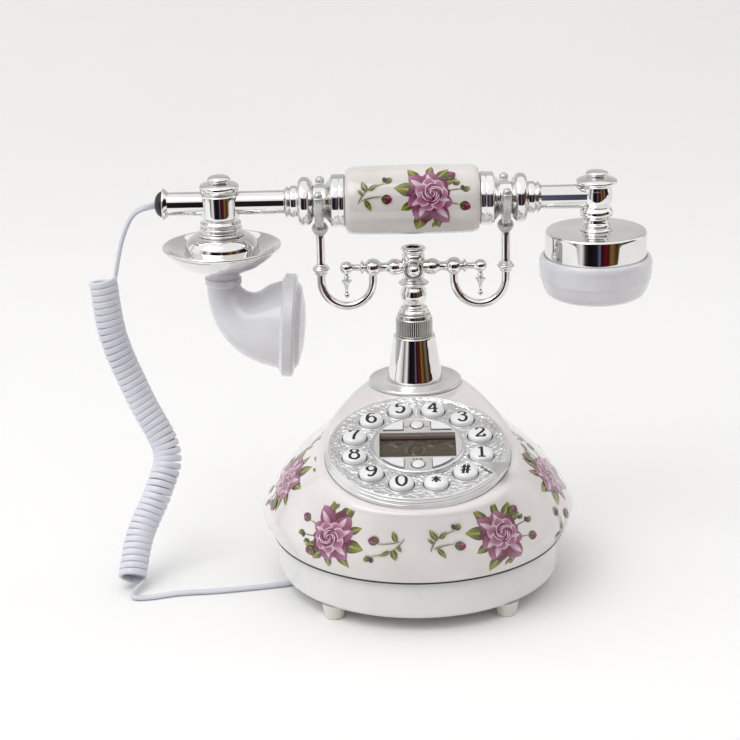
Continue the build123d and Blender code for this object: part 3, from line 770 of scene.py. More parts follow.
# Rose with leaves and buds, and a separate sprig on its left, in drawing order: (mark, x, y, direction,
# length and so on, as for the mark's own function)
BOUQUET = Artwork([
    ("leaf", -7, 2, 168, 12, 7.4), ("leaf", -5, 8, 128, 10.5, 5.4, -20), ("leaf", -8, -4, 204, 8, 4.4),
    ("leaf", -3, -9, -110, 12, 7.2, 12), ("leaf", 3, -10, -78, 9, 4.2, -18),
    ("leaf", 3, 9, 44, 10, 5.2, 25), ("leaf", 0, 10, 82, 9, 4.2, -25), ("leaf", 6, 6, 18, 9, 4.2, -15),
    ("stem", 8, -3, -14, 8, 12), ("bud", 15.5, -4.8, -18, 5.8), ("stem", 9, 2, 8, 9, -24),
    ("green_bud", 17.0, 2.4, 20, 4.2), ("green_bud", 13.5, 5.2, 50, 3.2),
    ("stem", 1, -10, -75, 5.5, -20), ("leaf", 2.4, -15, -48, 4.5, 1.9),
    ("leaf", 2.2, -14.5, -100, 4.5, 1.7), ("rose",), ("bud", 8.0, 9.2, 32, 6.4),
    ("stem", -37.5, -4, 55, 11, -30), ("stem", -36, -2.4, 12, 12, -28), ("bud", -25.2, -1.4, -4, 5.6),
    ("leaf", -32.5, 2.6, 118, 6.4, 3.2, -20), ("leaf", -34, -2.0, -58, 6.4, 2.6, -25),
    ("leaf", -35, 0.6, 130, 3.8, 1.6), ("stem", -32.2, 3.6, 20, 10, -18),
    ("leaf", -31.8, 3.4, 34, 5.4, 2.2), ("green_bud", -23.2, 7.4, 30, 4.2)
])

# Slim stem with narrow leaves and two buds
SPRIG = Artwork([
    ("stem", -12, -2, 12, 22, 24), ("leaf", -9, -1.6, -30, 8, 2.4, 20),
    ("leaf", -6, -1.0, 40, 8.5, 2.6, -20), ("leaf", -1, 0.4, -24, 8, 2.6, 20),
    ("leaf", 2, 1.6, 52, 7, 2.2, -20), ("bud", 9, 3.6, 34, 6.2), ("bud", 6, -1.6, -8, 4.8)
])


def printed(name, body, artwork, transform, scale=1.0, turn=0.0):
    """Piece with a print: an artwork laid on a surface by a function of (across, up, lift)."""
    shape = Shape()
    cosine = math.cos(math.radians(turn)) * scale
    sine = math.sin(math.radians(turn)) * scale
    for layer, (rows, shades) in enumerate(artwork.marks):
        lift = 0.05 + 0.006 * layer
        laid = [[transform(x * cosine - y * sine, x * sine + y * cosine, lift) for x, y in row]
                for row in rows]
        shape.grid(laid, colours=shades)
    return make_piece(name, shape, "rose_print", body)


# ---------------------------------------------------------------- dial


def key_angle(index):
    """Direction of a number key from the dial's centre, counter-clockwise from the 2."""
    return math.radians(15 + 30 * index)


def key_spot(index):
    """Move from the dial's centre to a number key."""
    angle = key_angle(index)
    return Matrix.Translation((KEY_CIRCLE_RADIUS * math.cos(angle), KEY_CIRCLE_RADIUS * math.sin(angle), 0))


def scroll_relief(radius, angle):
    """Height of the plate's embossed scrolls, 0 to 1."""
    u = radius / 1.25
    v = angle * 36
    warp = 1.5 * math.sin(v * 0.5 + u * 0.6) + 1.1 * math.cos(u * 1.1 - angle * 24)
    first = math.sin(u * 1.9 + warp) * math.cos(v + 1.3 * math.sin(u * 1.4 + angle * 12))
    second = math.sin(v * 1.5 - u * 2.1 + warp)
    return min(1.0, max(0.0, 0.5 + 0.62 * first + 0.34 * second))


def build_dial_plate():
    """Embossed annulus with key openings, a thin raised collar round each opening, and a dark ring of painted
    shade inside each collar.
    """
    inner, outer = PLATE_RADII
    radial = 72
    around = 1080
    shape = Shape()
    rows = []
    for i in range(radial + 1):
        radius = inner + (outer - inner) * i / radial
        row = []
        for j in range(around):
            angle = TURN * j / around
            border = min(1.0, (radius - inner) / 1.5, (outer - radius) / 0.9)
            rise = 0.9 * min(1.0, max(0.0, (radius - 41.5) / 2.5)) ** 2
            key = key_angle(round((angle - key_angle(0)) / math.radians(30)) % 12)
            near_key = math.hypot(radius * math.cos(angle) - KEY_CIRCLE_RADIUS * math.cos(key),
                                  radius * math.sin(angle) - KEY_CIRCLE_RADIUS * math.sin(key))
            clear = min(1.0, max(0.0, (near_key - 7.2) / 0.8))
            height = rise + 0.42 * scroll_relief(radius, angle) * max(0.0, border) * clear
            row.append((radius * math.cos(angle), radius * math.sin(angle), height, near_key))
        rows.append(row)
    keep = [[point[3] > KEY_HOLE_RADIUS + 0.45 for point in row] for row in rows]
    shape.points = [Vector(point[:3]) for row in rows for point in row]
    for i in range(radial):
        for j in range(around):
            k = (j + 1) % around
            if keep[i][j] and keep[i][k] and keep[i + 1][j] and keep[i + 1][k]:
                low = i * around
                high = low + around
                shape.faces.append((low + j, high + j, high + k, low + k))
    used = sorted({index for face in shape.faces for index in face})
    renumber = {old: new for new, old in enumerate(used)}
    shape.points = [shape.points[index] for index in used]
    shape.faces = [tuple(renumber[index] for index in face) for face in shape.faces]
    plate = make_piece("dial_plate_embossed", shape, "silver_embossed", "base", ["dial_plate"], DIAL_PLACE)
    thickness = plate.modifiers.new("thickness", "SOLIDIFY")
    thickness.thickness = 1.4 * MM
    thickness.offset = -1
    collars = Shape()
    well_shades = Shape()
    ring = lathe([(6.6, -1.5), (7.3, -1.5), (7.3, 0.1), (7.1, 0.4), (6.85, 0.45), (6.6, 0.2)], 48, 0.12)
    # Painted shade: a dark ring inside each collar stands in for the shade in the gap round the key.
    well = lathe([(6.22, -1.4), (6.6, -1.4), (6.6, 0.05), (6.22, -0.2)], 48, 0.05)
    for index in range(len(KEY_NAMES)):
        collars.add(ring, key_spot(index))
        well_shades.add(well, key_spot(index))
    make_piece("key_collars", collars, "silver_embossed", "base", (), DIAL_PLACE)
    make_piece("key_well_shade", well_shades, "painted_gap_shade", "base", (), DIAL_PLACE)


# Strokes of each glyph in a box 1 wide and 1.4 high: (smooth, closed, points)
GLYPHS = {
    "0": [(True, True, [(.5, 1.4), (.86, 1.14), (.94, .7), (.86, .26), (.5, 0), (.14, .26), (.06, .7),
                        (.14, 1.14)])],
    "1": [(False, False, [(.52, 1.4), (.52, 0)]), (False, False, [(.2, 0.03), (.84, 0.03)]),
          (False, False, [(.2, 1.12), (.52, 1.36)])],
    "2": [(True, False, [(.14, 1.02), (.24, 1.3), (.52, 1.38), (.8, 1.24), (.84, .98), (.66, .64),
                         (.36, .34), (.1, .08)]),
          (False, False, [(.1, .1), (.86, .1)]), (False, False, [(.86, .1), (.94, .38)])],
    "3": [(True, False, [(.14, 1.12), (.3, 1.34), (.56, 1.38), (.8, 1.2), (.74, .9), (.4, .76)]),
          (True, False, [(.4, .76), (.78, .66), (.9, .38), (.74, .08), (.42, 0), (.1, .22)])],
    "4": [(False, False, [(.68, 1.4), (.68, 0)]), (False, False, [(.68, 1.36), (.06, .42)]),
          (False, False, [(.04, .42), (.98, .42)]), (False, False, [(.44, .03), (.92, .03)])],
    "5": [(False, False, [(.2, 1.34), (.84, 1.34)]), (False, False, [(.24, 1.36), (.17, .74)]),
          (True, False, [(.17, .74), (.46, .88), (.8, .76), (.9, .44), (.72, .08), (.4, 0), (.1, .16)])],
    "6": [(True, False, [(.82, 1.26), (.58, 1.38), (.26, 1.16), (.1, .7), (.14, .26), (.48, 0), (.84, .18),
                         (.88, .54), (.58, .8), (.24, .66), (.12, .46)])],
    "7": [(False, False, [(.06, 1.32), (.94, 1.32)]), (False, False, [(.1, 1.36), (.06, 1.04)]),
          (True, False, [(.92, 1.32), (.62, .76), (.46, .36), (.42, 0)])],
    "8": [(True, True, [(.5, 1.38), (.78, 1.26), (.8, .98), (.5, .78), (.2, .98), (.22, 1.26)]),
          (True, True, [(.5, .78), (.86, .58), (.88, .2), (.5, 0), (.12, .2), (.14, .58)])],
    "star": [(False, False, [(.5, 1.1), (.5, .3)]), (False, False, [(.1, .92), (.9, .48)]),
             (False, False, [(.1, .48), (.9, .92)])],
    "hash": [(False, False, [(.44, 1.3), (.24, .1)]), (False, False, [(.8, 1.3), (.6, .1)]),
             (False, False, [(.06, .92), (1.0, .92)]), (False, False, [(.02, .5), (.96, .5)])],
}
GLYPHS["9"] = [(smooth, closed, [(1 - x, 1.38 - y) for x, y in points])
               for smooth, closed, points in GLYPHS["6"]]
GLYPH_WIDTH = 5.5
GLYPH_HEIGHT = 5.9
GLYPH_DROP = 0.35


def dome_height(radius):
    """Height of a number key's top at a distance from its centre."""
    for (r0, z0), (r1, z1) in zip(KEY_DOME, KEY_DOME[1:]):
        if radius >= r1:
            return z0 + (z1 - z0) * min(1.0, max(0.0, (r0 - radius) / (r0 - r1)))
    return KEY_DOME[-1][1]


def build_glyph(label):
    """Black digit on a key's dome: upright strokes are thick and level ones thin."""
    shape = Shape()
    for smooth, closed, points in GLYPHS[label]:
        flat = [((x - 0.5) * GLYPH_WIDTH, (y - 0.7) * GLYPH_HEIGHT - GLYPH_DROP, 0) for x, y in points]
        path = smooth_path(flat, 6, closed) if smooth else smooth_path(flat, 8)
        rows = []
        for i, point in enumerate(path):
            ahead = path[(i + 1) % len(path)] if closed else path[min(i + 1, len(path) - 1)]
            behind = path[i - 1] if closed or i else path[0]
            tangent = (ahead - behind).normalized()
            half = 0.38 + 0.36 * abs(tangent.y) ** 1.5
            normal = Vector((-tangent.y, tangent.x, 0))
            row = []
            for lane in (-1, -0.33, 0.33, 1):
                spot = point + normal * half * lane
                row.append((spot.x, spot.y, dome_height(math.hypot(spot.x, spot.y)) + 0.04))
            rows.append(row)
        shape.grid(rows, wrap_rows=closed)
    return shape


def build_keys():
    """Domed number keys with their glyphs."""
    profile = [(0, -3), (6.9, -3), (6.9, -1.8), (6.15, -1.8)] + KEY_DOME
    key = lathe(profile, 64, 0.25)
    for index, label in enumerate(KEY_NAMES):
        body = "key_" + label + "_body"
        place = DIAL_PLACE @ key_spot(index)
        make_piece("key_" + label + "_cap", key, "key_white", body, ["key_" + label], place)
        glyph = make_piece("key_" + label + "_glyph", build_glyph(label), "print_black", body, (), place)
        ink = glyph.modifiers.new("ink", "SOLIDIFY")
        ink.thickness = 0.08 * MM
        ink.offset = 0


def build_dial():
    """Bezel, plate, keys, display rim and the display's marks."""
    bezel = lathe([
        (43.2, -7.6), (44.8, -7.6), (44.8, -4.5), (47.6, -4.5), (47.6, -3.0), (47.4, -2.2),
        (46.9, -1.9), (46.9, -0.9), (46.6, -0.3), (46.2, -0.1), (46.15, 0.5), (45.9, 1.1), (45.4, 1.3),
        (44.9, 1.2), (44.6, 0.9), (44.6, -0.8), (43.2, -0.8)
    ], 240, 0.2)
    make_piece("dial_bezel_ring", bezel, "bezel_clear_silver", "base", ["dial_bezel"], DIAL_PLACE)
    build_dial_plate()
    build_keys()
    rim = lathe([
        (23.2, 0.0), (24.6, 0.0), (24.6, 1.2), (24.3, 1.9), (23.6, 2.35), (22.9, 2.3), (22.4, 2.0),
        (23.2, 1.4)
    ], 160, 0.2)
    make_piece("display_rim", rim, "silver_embossed", "base", (), DIAL_PLACE)
    build_display_marks()


def build_display_marks():
    """Dark rings of painted shade in the gaps round the function keys, the display's thin frame and three
    plain bars.
    """
    gaps = Shape()
    inner_corner = math.atan2(12.8, math.sqrt(21.9 ** 2 - 12.8 ** 2))
    outer_corner = math.acos(7.2 / 21.9)
    arc = []
    for i in range(13):
        angle = inner_corner + (outer_corner - inner_corner) * i / 12
        arc.append(Vector((21.9 * math.cos(angle), 21.9 * math.sin(angle), 2.02)))
    outline = [Vector((7.2, 12.8, 2.02))] + arc + [Vector((7.2, 12.8, 2.02))]
    edge = refined(outline, False, 0.8)
    fan_gap = sweep(edge, circle(0.24, 8))
    round_gap = lathe([(3.3, 1.7), (3.75, 1.7), (3.75, 2.08), (3.3, 2.08)], 40, 0.05)
    for x in (1, -1):
        for y in (1, -1):
            gaps.add(fan_gap, Matrix.Diagonal((x, y, 1, 1)), flip=x * y < 0)
    for y in (17.4, -17.4):
        gaps.add(round_gap, Matrix.Translation((0, y, 0)))
    make_piece("function_key_gap_shade", gaps, "painted_gap_shade", "base", (), DIAL_PLACE)
    bars = Shape()
    for x, half in ((-2.2, 0.5), (-0.6, 0.5), (1.5, 0.8)):
        path = [Vector((x - half, -13.0, 2.02)), Vector((x, -13.0, 2.05)), Vector((x + half, -13.0, 2.02))]
        bars.add(sweep(path, circle(0.3, 8)))
    make_piece("function_key_bars", bars, "print_black", "base", (), DIAL_PLACE)


# ---------------------------------------------------------------- pedestal and cradle


def knurl(angle, radius, height):
    """Fine upright ridges on the collar's cylinder."""
    inside = min(height - 124.2, 133.2 - height) / 0.5 if radius > 9.4 else 0.0
    return -0.55 * min(1.0, max(0.0, inside)) * (0.5 - 0.5 * math.cos(KNURL_RIDGES * angle)) ** 0.7


def build_pedestal():
    """Flange, cup and knurled collar."""
    flange = lathe([
        (4.3, 96.8), (25.2, 96.8), (25.4, 97.6), (25.0, 98.4), (24.4, 98.9), (23.6, 98.7),
        (23.0, 98.3), (17.4, 98.5), (16.4, 98.9), (15.6, 99.0), (4.3, 99.0)
    ], 192, 0.4)
    make_piece("top_flange_ring", flange, "flange_satin", "base", ["top_flange"], PEDESTAL_PLACE)
    cup = lathe([
        (9, 99), (15.1, 99), (14.1, 104.5), (13.2, 110), (11.9, 118.6), (11.4, 122.2), (11.3, 122.9),
        (11.0, 123.5), (10.4, 123.6), (4.2, 123.6), (4.2, 121.1), (9, 121.1)
    ], 128, 0.4)
    make_piece("pedestal_cup_turned", cup, "chrome", "base", ["pedestal_cup"], PEDESTAL_PLACE)
    collar = lathe([
        (4.2, 123.6), (9.2, 123.6), (9.8, 124.2), (9.8, 124.8), (9.8, 132.6), (9.8, 133.1),
        (9.4, 133.4), (8.9, 135.4), (8.2, 136.0), (4.2, 136.0)
    ], 8 * KNURL_RIDGES, 0.15, knurl)
    # Painted shade: the knurl's grooves are coloured darker the deeper they run, down to near black at the
    # bottom.
    for point in collar.points:
        depth = min(1.0, max(0.0, (9.8 - point.xy.length) / 0.55)) if 124.4 < point.z < 133 else 0.0
        collar.colours.append(mixed(linear(214, 212, 208), linear(52, 49, 46), depth))
    make_piece("knurled_collar_ridged", collar, "knurled_steel", "base", ["knurled_collar"], PEDESTAL_PLACE)


def build_cradle():
    """Stem, hub, arms, hooks, forks and pendants, all on the cradle body."""
    stem = lathe([
        (0, 34.2), (2.5, 34.2), (2.5, 96), (4, 96), (4, 113), (7.2, 113), (7.2, 115), (4, 115),
        (4, 136.02), (8.0, 136.02), (8.3, 137), (7.4, 138.0), (7.2, 138.6), (7.4, 139.2), (5.7, 139.8),
        (5.5, 140.4), (6.4, 142.4), (7.1, 144.4), (7.3, 146.2), (6.8, 148.4), (5.9, 150.2),
        (5.5, 151.2), (6.3, 151.5), (7.9, 151.9), (8.3, 152.5), (7.9, 153.2), (6.4, 153.6),
        (6.6, 154.2), (5.4, 154.6), (5.2, 155.2), (0, 155.2)
    ], 96, 0.5)
    make_piece("cradle_stem_turned", stem, "chrome", "cradle", ["cradle_stem"], PEDESTAL_PLACE)
    hub = lathe([
    (0, 155.2), (5.2, 155.2), (6.2, 157.0), (6.2, 168), (5.5, 168.9), (5.6, 169.6), (6.6, 170.4),
    (6.7, 171.2), (6.5, 172.1), (5.4, 172.5), (3.9, 172.5), (3.6, 172.1), (3.6, 166.2), (0, 166)
], 96, 0.4)
    boss = lathe([
        (0, 0), (6.0, 0), (6.0, 6.2), (5.6, 7.0), (5.0, 7.2), (4.3, 6.8), (4.2, 5.4), (0, 5.2)
    ], 72, 0.35)
    hub.add(boss, Matrix.Translation((0, 0, HUB_Z)) @ Matrix.Rotation(math.pi / 2, 4, "X"))
    make_piece("cradle_hub_turned", hub, "chrome", "cradle", ["cradle_hub"], PEDESTAL_PLACE)
    make_piece("hub_ball_turned", lathe(ball_profile(3.7, 24), 64), "chrome", "cradle", ["hub_ball"],
               Matrix.Translation((0, PEDESTAL_Y - 7.0, HUB_Z)))
    build_arms()
    build_hooks()
    build_forks()
    build_pendants()
    build_spring()


def build_arms():
    """Turned arms with their bulbs, balls and discs."""
    arm = lathe([
        (0, 5.0), (3.2, 5.0), (3.4, 6.3), (4.1, 8.0), (4.55, 10.0), (4.2, 11.9), (3.1, 13.4),
        (2.5, 14.2), (2.4, 15.2), (2.4, 16.4), (2.7, 17.4), (3.9, 18.6), (4.7, 20.2), (4.85, 21.6),
        (4.7, 23.0), (3.9, 24.6), (2.6, 25.4), (1.8, 25.8), (2.9, 26.4), (3.7, 27.0), (3.7, 27.6),
        (2.9, 28.2), (1.8, 28.8), (1.75, 30), (1.75, 32.2), (2.3, 32.9), (3.2, 34.1), (3.55, 35.7),
        (3.2, 37.3), (2.2, 38.6), (1.0, 39.2), (0, 39.3)
    ], 64, 0.8)
    place = Matrix.Translation((0, PEDESTAL_Y, HUB_Z)) @ Matrix.Rotation(math.pi / 2, 4, "Y")
    make_piece("cradle_arms_turned", mirrored(arm, place), "chrome", "cradle", ["cradle_arms"])


def build_hooks():
    """Bent J tubes with turned uprights."""
    radius = (FORK_X - HOOK_INNER_X) / 2
    centre_x = (FORK_X + HOOK_INNER_X) / 2
    path = [Vector((HOOK_INNER_X, 0, 157.5 - 0.6 * i)) for i in range(6)]
    for i in range(49):
        angle = math.pi + math.pi * i / 48
        path.append(Vector((centre_x + radius * math.cos(angle), 0, 153.9 + radius * math.sin(angle))))
    path += [Vector((FORK_X, 0, 154.5 + 0.9 * i)) for i in range(7)]
    hook = sweep(path, circle(2.27, 32))
    upright = lathe([
        (0, 158.0), (3.2, 158.0), (3.5, 158.8), (3.4, 159.6), (4.3, 160.1), (4.8, 160.9), (4.6, 161.7),
        (3.6, 162.3), (3.7, 162.9), (2.6, 163.4), (2.4, 164), (2.4, 180.3), (0, 180.3)
    ], 64, 0.5)
    hook.add(upright, Matrix.Translation((FORK_X, 0, 0)))
    hooks = mirrored(hook, Matrix.Identity(4))
    make_piece("cradle_hooks_bent", hooks, "chrome", "cradle", ["cradle_hooks"], PEDESTAL_PLACE)


def build_forks():
    """U-shaped forks with a beaded crown below and a ball on each tip."""
    crown = lathe([
        (0, 179.8), (2.6, 179.8), (3.0, 180.6), (3.9, 181.6), (4.4, 182.8), (4.4, 183.8), (3.9, 185.0),
        (3.2, 186.2), (0, 187.0)
    ], 72, 0.6, petals)
    path = []
    for i in range(61):
        angle = math.pi + math.pi * i / 60
        path.append(Vector((0, 17.3 * math.cos(angle), 204.4 + 17.3 * math.sin(angle))))
    section = rounded([(-2.75, -2.2), (2.75, -2.2), (2.75, 2.2), (-2.75, 2.2)], True, 0.5)
    fork = sweep(path, [(point[1], point[0]) for point in section])
    fork.add(crown)
    tip = lathe(ball_profile(2.5, 16), 40)
    for side in (-1, 1):
        fork.add(tip, Matrix.Translation((0, side * 17.3, 205.0)))
    forks = mirrored(fork, Matrix.Translation((FORK_X, 0, 0)))
    make_piece("cradle_forks_bent", forks, "fork_grey", "cradle", ["cradle_forks"], PEDESTAL_PLACE)


def petals(angle, radius, height):
    """Beaded petals round the fork's crown."""
    return -0.45 * (0.5 - 0.5 * math.cos(10 * angle)) if 180.6 < height < 185.8 and radius > 3 else 0.0


def build_pendants():
    """Small turned drops under the arms' end balls."""
    top = HUB_Z - 3.2
    drop = lathe([
        (0, top - 13.5), (0.8, top - 13.3), (1.35, top - 12.7), (1.45, top - 12.0), (1.2, top - 11.2),
        (0.8, top - 10.7), (0.75, top - 9.5), (0.9, top - 8), (1.6, top - 6), (2.9, top - 3.9),
        (2.7, top - 3.6), (1.1, top - 3.1), (1.1, top - 2.6), (1.65, top - 2.1), (1.65, top - 1.5),
        (1.0, top - 0.9), (0.9, top + 0.6), (0, top + 0.8)
    ], 48, 0.3)
    drops = mirrored(drop, Matrix.Translation((PENDANT_X, 0, 0)))
    make_piece("cradle_pendants_turned", drops, "chrome", "cradle", ["cradle_pendants"], PEDESTAL_PLACE)


def build_spring():
    """Coil spring inside the cup; it stands on the flange and carries the rod's shoulder."""
    path = []
    turns = 6
    for i in range(turns * 20 + 1):
        angle = TURN * i / 20
        height = 99.7 + 12.4 * i / (turns * 20)
        path.append(Vector((5.4 * math.cos(angle), 5.4 * math.sin(angle), height)))
    spring = sweep(path, circle(0.55, 8))
    make_piece("return_spring_wound", spring, "zinc_steel", "cradle", ["return_spring"], PEDESTAL_PLACE)


# ---------------------------------------------------------------- handset


def build_handset_bar():
    """Tube, printed grip, ferrules, collars and end cap."""
    tube = lathe([(4.8, -129.5), (6.3, -129.5), (6.3, 97), (4.8, 97)], 96, 0.2)
    make_piece("handset_tube_polished", tube, "chrome", "handset", ["handset_tube"], HANDSET_PLACE)
    grip = lathe([
        (6.35, -35.4), (14.6, -35.4), (16.4, -34.9), (17.4, -33.4), (17.9, -31.0), (18.1, -27),
        (18.3, -14), (18.4, 0), (18.3, 14), (18.1, 27), (17.9, 31.0), (17.4, 33.4), (16.4, 34.9),
        (14.6, 35.4), (6.35, 35.4)
    ], 160, 1.0)
    make_piece("grip_sleeve_glazed", grip, "grip_porcelain", "handset", ["grip_sleeve"], HANDSET_PLACE)
    ferrule = lathe([
        (6.35, 35.4), (13.6, 35.4), (14.2, 36.0), (14.2, 38.2), (13.9, 38.5), (14.2, 38.8),
        (14.2, 42.0), (13.6, 42.8), (12.2, 43.3), (10.6, 44.4), (9.2, 45.6), (8.7, 46.6), (8.7, 52.4),
        (6.35, 52.4)
    ], 120, 0.4)
    ferrules = mirrored(ferrule, HANDSET_PLACE)
    make_piece("grip_ferrules_turned", ferrules, "chrome", "handset", ["grip_ferrules"])
    collar = lathe([
        (6.35, 52.4), (9.4, 52.4), (10.2, 52.7), (11.4, 53.5), (12.8, 54.8), (13.1, 55.8),
        (13.1, 58.0), (12.6, 59.2), (11.0, 60.2), (8.7, 60.7), (8.4, 61.2), (8.6, 61.8), (8.6, 63.8),
        (8.0, 64.4), (7.4, 64.8), (7.5, 65.2), (8.4, 65.5), (8.3, 66.2), (7.2, 67.2), (6.8, 67.6),
        (6.35, 67.6)
    ], 120, 0.4)
    collars = mirrored(collar, HANDSET_PLACE)
    make_piece("neck_collars_turned", collars, "chrome", "handset", ["neck_collars"])
    ring = lathe([
        (2.2, -131.9), (6.9, -131.9), (8.2, -131.7), (8.5, -131.2), (8.2, -130.6), (7.0, -129.2),
        (6.6, -128.8), (6.35, -128.8), (6.35, -130.4), (2.2, -130.4)
    ], 96, 0.3)
    make_piece("tube_end_ring", ring, "chrome", "handset", (), HANDSET_PLACE)
    bush = lathe([
        (1.75, -135.8), (2.6, -135.8), (4.4, -135.2), (5.9, -134.1), (6.8, -132.7), (7.0, -131.9),
        (1.75, -131.9)
    ], 72, 0.5)
    make_piece("tube_end_bush", bush, "black_plastic", "handset", ["tube_end_cap"], HANDSET_PLACE)


def build_mouthpiece():
    """Turned post and saucer."""
    post = lathe([
        (0, -16.8), (12.2, -16.8), (12.8, -16.3), (12.6, -15.5), (11.2, -15.0), (10.6, -14.6),
        (10.6, -13.8), (11.2, -13.4), (11.3, -12.6), (10.3, -12.0), (10.2, -11.5), (11.0, -11.0),
        (11.0, -10.1), (10.3, -9.5), (9.7, -9.0), (9.6, -8.3), (10.4, -7.0), (10.4, 4.4), (9.9, 5.3),
        (8.9, 5.7), (8.9, 6.2), (9.4, 6.6), (10.3, 7.4), (10.7, 8.8), (10.4, 9.9), (9.2, 10.7),
        (7.0, 11.2), (5.6, 11.5), (5.5, 11.9), (6.2, 12.4), (6.2, 13.3), (5.2, 14.5), (3.0, 15.1),
        (0, 15.2)
    ], 120, 0.5)
    make_piece("mouth_post_turned", post, "chrome", "handset", ["mouth_post"], MOUTH_PLACE)
    saucer = lathe([
        (0, -34.4), (10.4, -34.4), (13, -34.1), (18, -32.4), (23, -29.6), (27, -26.4), (30, -23.4),
        (31.4, -21.8), (31.7, -20.8), (31.3, -20.1), (30.4, -20.0), (29.2, -20.7), (26, -22.9),
        (22.5, -24.6), (20.4, -25.0), (19.6, -24.6), (19.5, -23.6), (19.8, -21.8), (19.4, -19.6),
        (18.4, -17.6), (16.8, -16.0), (14.8, -14.9), (12.8, -14.4), (0, -14.3)
    ], 160, 0.6)
    make_piece("mouth_saucer_turned", saucer, "chrome", "handset", ["mouth_saucer"],
               MOUTH_PLACE @ Matrix.Translation((0, 0, -SAUCER_DROP)))


def build_earpiece():
    """Turned post, chrome drum and moulded cap."""
    post = lathe([
        (0, -18.3), (8.6, -18.3), (8.7, -17.8), (8.2, -17.2), (7.4, -16.7), (7.4, -16.2), (7.8, -15.6),
        (7.5, -14.8), (6.6, -14.0), (6.5, -12.8), (6.6, -11.4), (7.4, -10.8), (8.5, -10.2),
        (9.0, -9.2), (8.9, -7.8), (8.2, -6.6), (7.4, -5.8), (7.4, -4.8), (8.2, -3.0), (8.4, 0),
        (8.2, 2.6), (7.5, 4.4), (7.3, 5.4), (7.6, 6.2), (9.6, 6.6), (10.8, 7.2), (11.1, 8.0),
        (10.7, 8.9), (8.8, 9.8), (6.4, 10.5), (5.1, 10.8), (5.1, 11.2), (6.0, 11.6), (6.1, 12.4),
        (5.2, 13.4), (3.0, 13.9), (0, 14)
    ], 120, 0.5)
    make_piece("ear_post_turned", post, "chrome", "handset", ["ear_post"], EAR_PLACE)
    drum = lathe([
        (0, -18.3), (25.6, -18.3), (26.4, -18.6), (26.9, -19.3), (27.0, -20.2), (27.0, -32.8),
        (25, -32.8), (25, -20.3), (0, -20.3)
    ], 192, 0.4)
    make_piece("ear_drum_spun", drum, "chrome", "handset", ["ear_drum"], EAR_PLACE)
    cap = lathe([
        (0, -55.6), (18, -55.1), (23.5, -54.0), (26.2, -52.2), (27.5, -49.8), (28.6, -46.0),
        (29.0, -44.8), (29.5, -44.0), (30.1, -37.0), (30.0, -34.6), (29.2, -32.6), (28.4, -32.0),
        (27.4, -31.9), (27.05, -32.4), (27.05, -32.9), (24.9, -32.9), (24.9, -47), (23, -50.8),
        (0, -53.4)
    ], 192, 0.5)
    drill = lathe([(0, -60), (1.1, -60), (1.1, -50), (0, -50)], 24, 0.01)
    drills = Shape()
    drills.add(drill)
    for step in range(6):
        angle = math.radians(60 * step)
        drills.add(drill, Matrix.Translation((6 * math.cos(angle), 6 * math.sin(angle), 0)))
    piece = make_piece("ear_cap_moulded", cap, "white_plastic", "handset", ["ear_cap"], EAR_PLACE)
    carve(piece, drills, EAR_PLACE)


# ---------------------------------------------------------------- cord


def cord_section():
    """Flat cord's section with well rounded edges, as (across, outwards) points."""
    count = 16
    points = []
    for i in range(count):
        angle = TURN * i / count
        x = math.copysign(abs(math.cos(angle)) ** 0.55, math.cos(angle)) * CORD_HALF_WIDTH
        y = math.copysign(abs(math.sin(angle)) ** 0.8, math.sin(angle)) * CORD_HALF_DEPTH
        points.append((x, y))
    return points


def cord_path():
    """Centre points of the whole cord, each with the direction its wide side faces."""
    centre = sampled(smooth_path(COIL_POINTS, 30), 0, 0, WINDING_TURNS * WINDING_STEPS + 1)
    coil = []
    for i, (point, (_, side, up)) in enumerate(zip(centre, path_frames(centre))):
        angle = TURN * i / WINDING_STEPS + 2.8
        outwards = side * math.cos(angle) + up * math.sin(angle)
        coil.append((point + outwards * WINDING_RADIUS, outwards))
    first, last = coil[0][0], coil[-1][0]
    tail = [(point, coil[0][1]) for point in smooth_path(TAIL_POINTS + [first, coil[4][0]], 14)[:-14]]
    lead_points = [coil[-5][0], last] + LEAD_POINTS + [(-48.4, -8, 9.0), (-48.2, -8, 14)]
    lead = [(point, Vector((0, 0, 1))) for point in smooth_path(lead_points, 14)[15:]]
    blend_length = 20
    for i in range(blend_length):
        share = i / blend_length
        lead[i] = (lead[i][0], coil[-1][1].lerp(Vector((0, 0, 1)), share).normalized())
    return tail[:-1] + coil + lead


def build_cord():
    """One ribbon cord: from the handset's end into the coil, down it, and along the table to the jack."""
    path = cord_path()
    section = cord_section()
    rows = []
    for i, (point, outwards) in enumerate(path):
        tangent = (path[min(i + 1, len(path) - 1)][0] - path[max(i - 1, 0)][0]).normalized()
        across = tangent.cross(outwards)
        if across.length < 1e-4:
            across = Vector((0, 1, 0))
        across.normalize()
        facing = across.cross(tangent)
        rows.append((point, [point + across * x + facing * y for x, y in section]))
    cord = make_piece("handset_cord", capped(rows), "cord_white", None, ["coiled_cord", "cord_tail"])
    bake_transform(cord)


# ---------------------------------------------------------------- carried-over CAD nodes


def dress_cad_nodes():
    """Gives every CAD node that stays visible its own finish."""
    slots = {row["node"]: row["material_slot"] for row in frame["record"]["subparts"]}
    for name, node in frame["nodes"].items():
        material = {"base_plate": "tray_white", "display_frame": "frame_satin"}.get(name, slots[name])
        node.data.materials.clear()
        node.data.materials.append(MATERIALS[material])


# ---------------------------------------------------------------- studio


